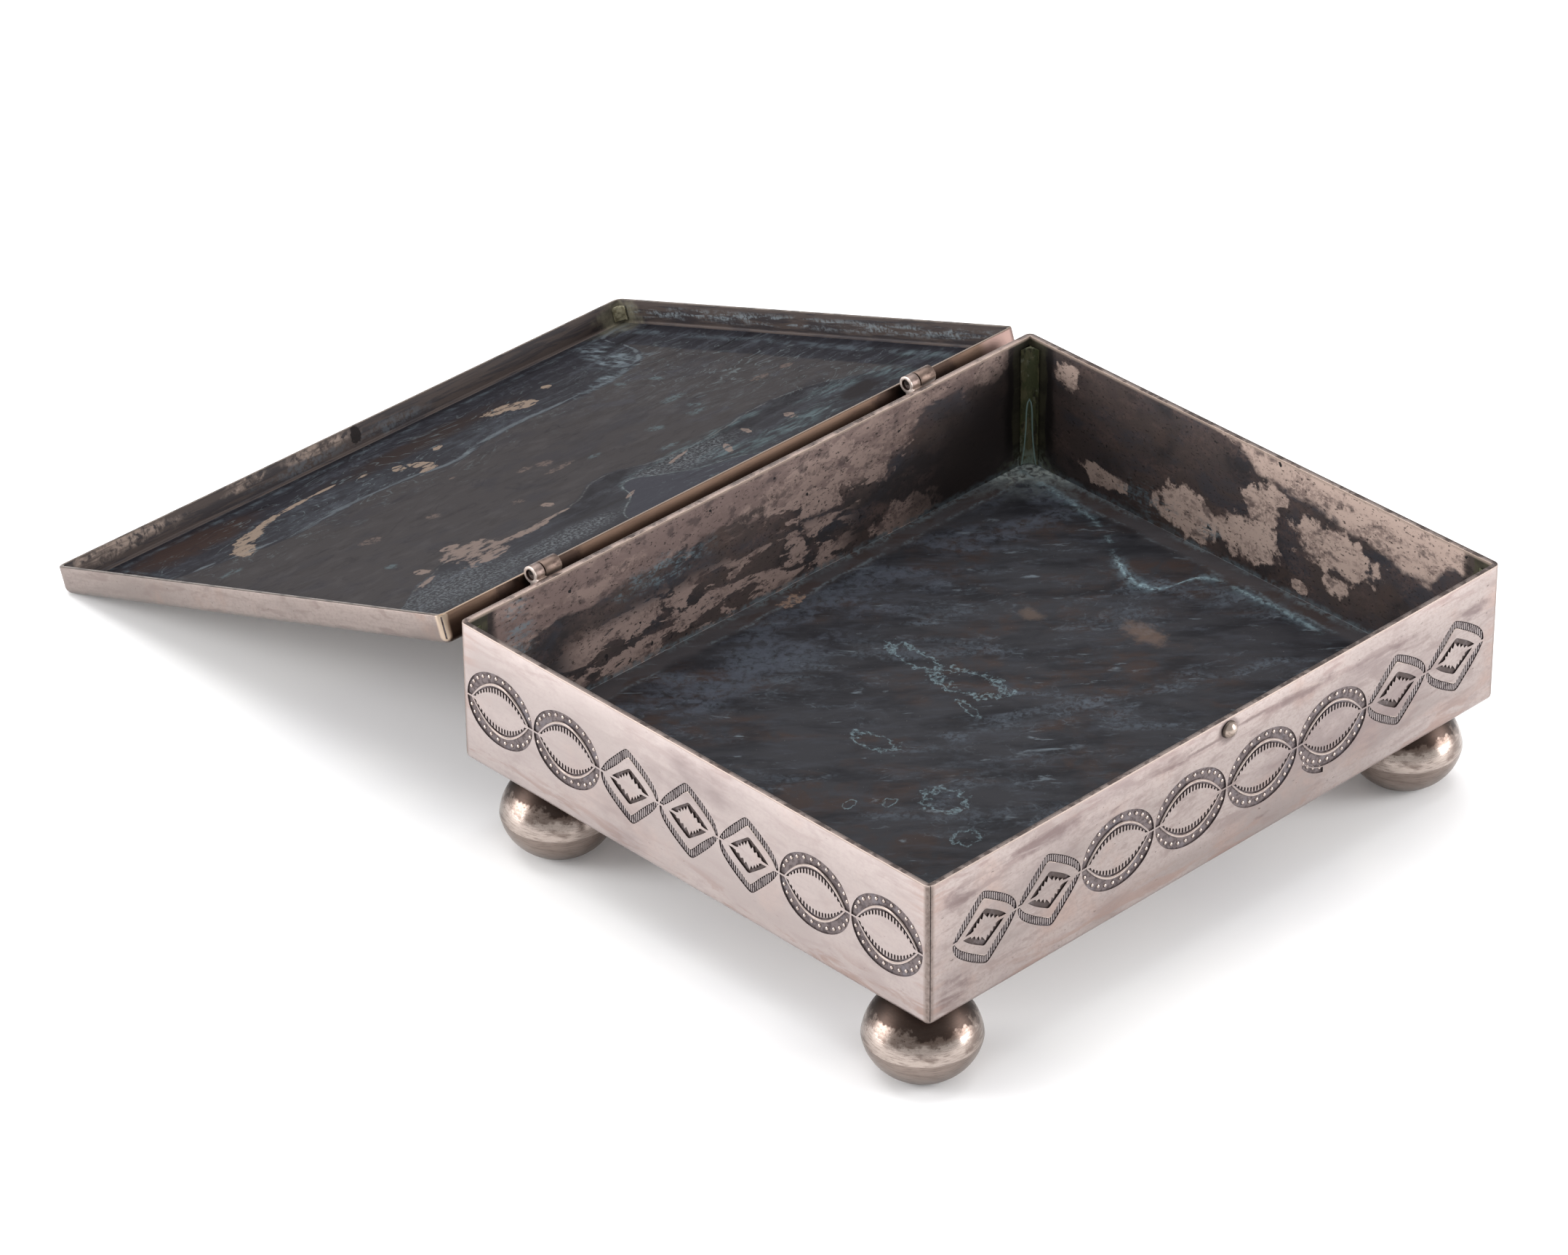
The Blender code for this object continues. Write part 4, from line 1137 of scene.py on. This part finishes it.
scrapes = marks(
    [(39.5, 89.5, 6.2, 5.6), (38, 96.5, 5.4, 2.6, 0.1), (49, 93.4, 7.5, 1.5, -0.1), (58, 92.6, 6, 0.7, 0.05),
     (39.8, 82, 2, 1.8), (27.8, 87.4, 1.4, 2), (23.5, 94, 3.6, 0.8, 0.4), (64, 84.8, 1, 2),
     (92, 94.4, 4.2, 0.6, 0.35), (99, 102.5, 0.8, 3.6, -0.5), (108, 98.5, 0.7, 2.2, -0.3),
     (117.5, 102, 1, 2.6, -0.3), (72.5, 101.5, 2.2, 0.6, 0.5)], 0.35, 0.1, 1.6)
plate.lay((156, 137, 128), scrapes * flake_grain, 0.42, 0.8)
faint = marks(
    [(38.5, 57.5, 2.4, 2), (79, 59.5, 2, 1.3), (83.2, 61.8, 1.7, 2.1), (82, 68, 3.6, 1.2),
     (53, 60.5, 1.3, 1.8), (64, 75.4, 1.4, 1.4), (142, 73.6, 1.6, 1.3), (135, 73, 2.2, 1.4),
     (71.6, 44.4, 0.8, 0.6)], 0.4, 0.2, 1.2)
plate.lay((134, 117, 110), faint, 0.46, 0.6, 1)
verdigris_dots = marks(
    [(120.6, 60.6, 2.6, 1.6), (118.6, 70, 1, 2.2), (115.5, 74.4, 2.2, 1.4), (105, 72.6, 1.6, 2),
     (130, 44.6, 0.8, 2), (125.4, 37.6, 0.7, 1.6), (89, 71, 1.4, 1), (97, 86, 2.4, 1.4),
     (28.5, 76.5, 1, 1.6), (17, 37, 2.4, 1)], 0.5, 0.5, 1.2)
plate.lay((116, 132, 137), verdigris_dots, 0.6, 0.6, 1)
plate.lay((138, 134, 118), plate.spot((158, lid_far - 1, lid_floor), (7, 5, 6), 0.5, 0.8, 3), 0.7, 0.7)
plate.emboss(mottle, 0.05)
plate.emboss(streaks, 0.03)

skirts = Patina("tarnish_skirts", (62, 53, 50), 0.46, metallic=0.25, origin=lid_corner, tilt=slope, gloss=0.2)


def runs(*rows):
    """Spots on the lid's outer skirt: along, up, half a length, half a height, then how their edge runs."""
    return any_of([skirts.spot((along, lid_far, up), (length, 9, height), *edge)
                   for along, up, length, height, *edge in rows])


under_rim = -0.15 - skirts.z
drawn = skirts.cloud(4, 6, 11, (4, 4, 0.35), 0.4)
skirts.lay((38, 34, 37), drawn.edge(0.44, 0.58), 0.44, 0.85)
on_outer = skirts.y.edge(lid_far - 1.6, lid_far - 1.1)
tan_runs = runs((17, -1.4, 13, 2, 0.4, 0.4, 3), (50, -1.2, 6, 1.2, 0.4, 0.4, 3),
                (71, -1.4, 9, 1.4, 0.4, 0.5, 3))
skirts.lay((136, 120, 110), on_outer * tan_runs * drawn.edge(0.36, 0.56), 0.42, 0.8, 1.6)
blue_runs = runs((66, -3.4, 11, 1, 0.5, 0.5, 3), (92, -3.2, 9, 1.2, 0.5, 0.5, 3))
skirts.lay((86, 94, 102), on_outer * blue_runs, 0.5, 0.4, 1)
skirts.lay((30, 24, 24), runs((81, -2, 1.3, 1.7, 0.5, 0.1, 1)), 0.6)
on_side = skirts.x.edge(lid_width - 1.6, lid_width - 1.1)
white_grain = skirts.cloud(2.4, 7, 35, (1, 3.6, 0.5), 0.5).edge(0.46, 0.6)
white_runs = on_side * under_rim.band(1.2, 3.6, 0.8) * white_grain
skirts.lay((112, 120, 125), white_runs, 0.6, 0.7, 0.9)
skirts.lay((122, 118, 100), skirts.spot((lid_width, lid_far, -3.4), (6, 6, 2.8), 0.5, 0.8, 2), 0.7, 0.75)
skirts.emboss(drawn, 0.04)

cover = worn_silver("lid_outside", (132, 121, 116), 0.38, origin=lid_corner, tilt=slope)
on_top = cover.z.edge(-6, -6.35)
cover.lay((130, 119, 114), on_top, 0.36, 0.6)
hairlines = cover.cloud(0.7, 5, 12, (26, 0.7, 1))
cover.lay((146, 135, 129), on_top * hairlines.edge(0.5, 0.64), 0.32, 0.5)
cross_lines = cover.cloud(0.6, 5, 46, (0.7, 22, 1), 0, (0, 0, 0.5))
cover.lay((112, 101, 97), on_top * cross_lines.edge(0.56, 0.68), 0.44, 0.4)
at_hinge = cover.y.edge(3.6, 2.9)
brown_run = cover.cloud(5, 5, 8, (5, 1, 0.6))
cover.lay((82, 66, 56), at_hinge, 0.46)
cover.lay((64, 50, 43), at_hinge * brown_run.edge(0.44, 0.6), 0.46, 0.7)
# Painted shade: the skirt at the hinge is laid darker towards the plate, down into the gap behind the box.
cover.lay((48, 38, 33), at_hinge * cover.z.edge(-1.6, -3.4), 0.5, 0.4)
# Painted highlight: the rounded corner by the left hinge is laid bright; the dark line in it is the open
# seam.
corner_off = cover.x + (cover.y - 2.5)
cover.lay((196, 176, 156), corner_off.edge(2, 1.4), 0.34, 0.7)
cover.lay((62, 47, 38), corner_off.edge(0.95, 0.75) * cover.z.edge(-0.7, -1.1), 0.5, 0.8)
# Painted shadow: dark patches on the skirt at the hinge, beside each knuckle.
beside = any_of([cover.spot((along, 2.5, -2.6), (length, 6, 3.4), 0.35, 0.3, 2)
                 for along, length in ((18, 4.2), (32, 5), (122, 4.2), (136, 5))])
cover.lay((46, 36, 32), at_hinge * beside, 0.45, 0.85)
cover.lay((118, 98, 93), at_hinge * cover.x.edge(148, 151), 0.5, 0.8)
lid_rim = Patina("lid_rim", (112, 98, 88), 0.32, origin=lid_corner, tilt=slope)
lid_rim.lay((64, 54, 49), lid_rim.cloud(5, 6).edge(0.48, 0.6), 0.42, 0.8)
lid_rim.lay((128, 106, 88), lid_rim.y.edge(3.8, 3.4), 0.36)
lid_rim.lay((176, 146, 118), lid_rim.y.edge(3.8, 3.4) * lid_rim.x.edge(30, 20), 0.34, 0.8)
for i, metal in enumerate((cover, skirts, lid_rim, plate)):
    lid.data.materials[i] = metal.done()
open_seam_size = (1.9 * MM, 0.34 * MM, 4.6 * MM)
open_seam_in = 0.1 * MM
open_seam_middle = -2.9 * MM
open_seam = block(open_seam_size, (-lid_length / 2 + open_seam_in, lid_near + open_seam_in, open_seam_middle),
                  math.pi / 4)
merge(lid, made_of(open_seam, stamped_ground))
smooth(lay_open(lid), 30)
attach(lid, "lid")
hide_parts("lid_tray")

lid_green = Patina("lid_solder", (104, 98, 78), 0.6, metallic=0.3, origin=lid_corner, tilt=slope, gloss=0.2)
lid_grain = lid_green.cloud(1.4, 6)
lid_green.lay((74, 74, 58), lid_grain.edge(0.44, 0.6))
lid_green.lay((168, 162, 138), lid_green.x.edge(140, 150) * lid_grain.edge(0.4, 0.6), 0.75, 0.8)
lid_green.emboss(lid_grain, 0.12)
lid_green = lid_green.done()
for quarter, (corner, (right, back)) in enumerate(corners.items()):
    run = corner_run("lid_solder_" + corner, lid_green, leg=2.4 * MM, heel=0.7 * MM, low=-4.65 * MM,
                     high=-1.35 * MM)
    run.rotation_euler.z = (3 - quarter) * math.pi / 2
    run.location = ((1 if right else -1) * (lid_length / 2 - lid_sheet),
                    lid_near + (lid_sheet if back else lid_depth - lid_sheet), 0)
    smooth(lay_open(run), 40)
    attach(run, "lid")
    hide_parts("lid_solder_" + corner)


# The two hinges: each is a short tube soldered to the box and a longer one to the lid, both with a leaf of
# solder down to their wall, on a wire pin whose end sits a little inside the tube.
tube_radius = 1.8 * MM
bore_radius = 1.1 * MM
leaf_top = -0.3 * MM
leaf_foot = -3.2 * MM
leaf_width = 2.3 * MM
tube_weld = 0.05 * MM
tube_ease = 0.12 * MM
pin_ease = 0.15 * MM


def bar_along_x(radius, length):
    """Round bar about the origin."""
    bpy.ops.mesh.primitive_cylinder_add(
        vertices=40, radius=radius, depth=length, rotation=(0, math.pi / 2, 0))
    return settle(bpy.context.object)


def is_sharp(edge):
    return edge.calc_face_angle(0) > 1.2


def knuckle(name, length, side, material):
    """Bored tube round the origin with a leaf that hangs down on one side of it."""
    tube = bar_along_x(tube_radius, length)
    leaf_middle = (0, side * leaf_width / 2, (leaf_top + leaf_foot) / 2)
    merge(tube, block((length, leaf_width, leaf_top - leaf_foot), leaf_middle), "UNION")
    merge(tube, bar_along_x(bore_radius, 2 * length))
    take_all_of(tube)
    bpy.ops.mesh.remove_doubles(threshold=tube_weld)
    bpy.ops.mesh.dissolve_limited(angle_limit=0.01)
    ease(tube, tube_ease, 2, is_sharp, clamp_overlap=True)
    tube.name = name
    return made_of(tube, material)


def hinge_metal(name, colour, dark, centre):
    """Dull brown metal with a painted highlight in a line along it, and painted shade below."""
    tube = Patina(name, colour, 0.42, metallic=0.8, origin=centre, gloss=0.3)
    tube.lay(dark, tube.cloud(1.6, 8, 0, (2, 1, 1)).edge(0.44, 0.6), 0.48, 0.8)
    # Painted highlight: a lighter line along the tube at the middle of its height.
    tube.lay((142, 124, 112), tube.z.band(-0.9, 0.5, 0.25), 0.42, 0.5)
    # Painted shade: the tube is laid darker below its axis.
    tube.lay((48, 38, 32), tube.z.edge(-1.2, -2.6), 0.5, 0.7)
    tube.emboss(tube.cloud(0.8, 4, 0, (3, 1, 1)), 0.03)
    return tube


for side in ("left", "right"):
    for body, lean in (("box", -1), ("lid", 1)):
        node = "hinge_" + side + "_" + body + "_knuckle"
        low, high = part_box(node)
        centre = Vector(((low.x + high.x) / 2, hinge.y, hinge.z))
        if body == "box":
            metal = hinge_metal(node, (122, 107, 101), (80, 66, 61), centre)
            from_face = metal.x - (low.x - centre.x) / MM
            metal.lay((214, 200, 192), from_face.edge(0.35, 0.1), 0.4, 0.9)
            # Painted shade: the bore of the box knuckle is laid dark.
            from_axis = metal.sum("SQRT", metal.y * metal.y + metal.z * metal.z)
            metal.lay((66, 52, 46), from_axis.edge(1.3, 1.1), 0.5)
        else:
            metal = hinge_metal(node, (104, 88, 80), (64, 51, 46), centre)
        tube = knuckle(node, high.x - low.x, lean, metal.done())
        tube.rotation_euler.x = -slope if body == "lid" else 0
        tube.location = centre
        smooth(settle(tube), 40)
        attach(tube, body)
        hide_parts(node)
    node = "hinge_" + side + "_pin"
    low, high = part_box(node)
    middle = (low + high) / 2
    pin = bar_along_x((high.z - low.z) / 2, high.x - low.x)
    ease(pin, pin_ease, 3, is_sharp)
    pin.name = node
    pin.location = middle
    settle(pin)
    wire_metal = Patina("wire_" + side, (112, 100, 96), 0.42, metallic=0.6, origin=middle, gloss=0.3)
    wire_metal.lay((72, 60, 56), wire_metal.cloud(0.7, 5).edge(0.46, 0.58), 0.5)
    # Painted shade: the end of the pin, inside the tube, is laid dark.
    wire_metal.lay((30, 24, 22), wire_metal.spot((-3, 0.15, 0.35), (1.5, 0.55, 0.55), 0.2, 0.15, 0.6), 0.6)
    smooth(made_of(pin, wire_metal.done()), 40)
    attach(pin, "box")
    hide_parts(node)


# The floor, the light and the camera of the photograph: a white table under a broad soft light from above
# and behind, with a softer one on each side, and a long lens looking down on the front left corner.
bpy.ops.mesh.primitive_plane_add(size=1, location=(0, 0, 0))
table = bpy.context.object
table.name = "table"
table.scale = (9, 9, 1)
settle(table)
white = Patina("white_table", (244, 244, 244), 0.7, metallic=0.0, gloss=0.2)
white.lay((240, 240, 241), white.cloud(60).edge(0.4, 0.6))
white.shader.inputs["Emission Color"].default_value = (1, 1, 1, 1)
white.shader.inputs["Emission Strength"].default_value = 0.06
table.data.materials.append(white.done())


def soft_light(name, place, target, size, power):
    """Square lamp at a place, turned to a target."""
    data = bpy.data.lights.new(name, "AREA")
    data.shape = "RECTANGLE"
    data.size, data.size_y = size
    data.energy = power
    lamp = bpy.data.objects.new(name, data)
    bpy.context.scene.collection.objects.link(lamp)
    lamp.location = place
    lamp.rotation_euler = (Vector(target) - Vector(place)).to_track_quat("-Z", "Y").to_euler()


soft_light("overhead", (0.25, 0.5, 1.3), (0, 0.05, 0), (1.6, 1.6), 23)
soft_light("left", (-1.05, 0.88, 0.4), (0, 0, 0.03), (0.7, 0.8), 19)
soft_light("right", (0.9, -1.04, 0.36), (0, 0, 0.03), (0.7, 0.8), 19)

world = bpy.data.worlds.new("studio")
bpy.context.scene.world = world
world.use_nodes = True
world.node_tree.nodes["Background"].inputs["Color"].default_value = (1, 1, 1, 1)
world.node_tree.nodes["Background"].inputs["Strength"].default_value = 0.76
bpy.context.scene.view_settings.view_transform = "Standard"

lens_data = bpy.data.cameras.new("camera")
lens_data.sensor_width = 36
lens_data.lens = 158.25
lens_data.clip_start = 0.05
camera = bpy.data.objects.new("camera", lens_data)
bpy.context.scene.collection.objects.link(camera)
lens_place = (-0.8101, -0.85117, 0.75872)
look_right = Vector((0.7175, -0.69651, -0.00798))
look_down = Vector((-0.37799, -0.37971, -0.84436))
look_along = Vector((0.58507, 0.60885, -0.53572))
lens_turn = Matrix((look_right, -look_down, -look_along)).transposed().to_4x4()
camera.matrix_world = Matrix.Translation(lens_place) @ lens_turn
bpy.context.scene.camera = camera
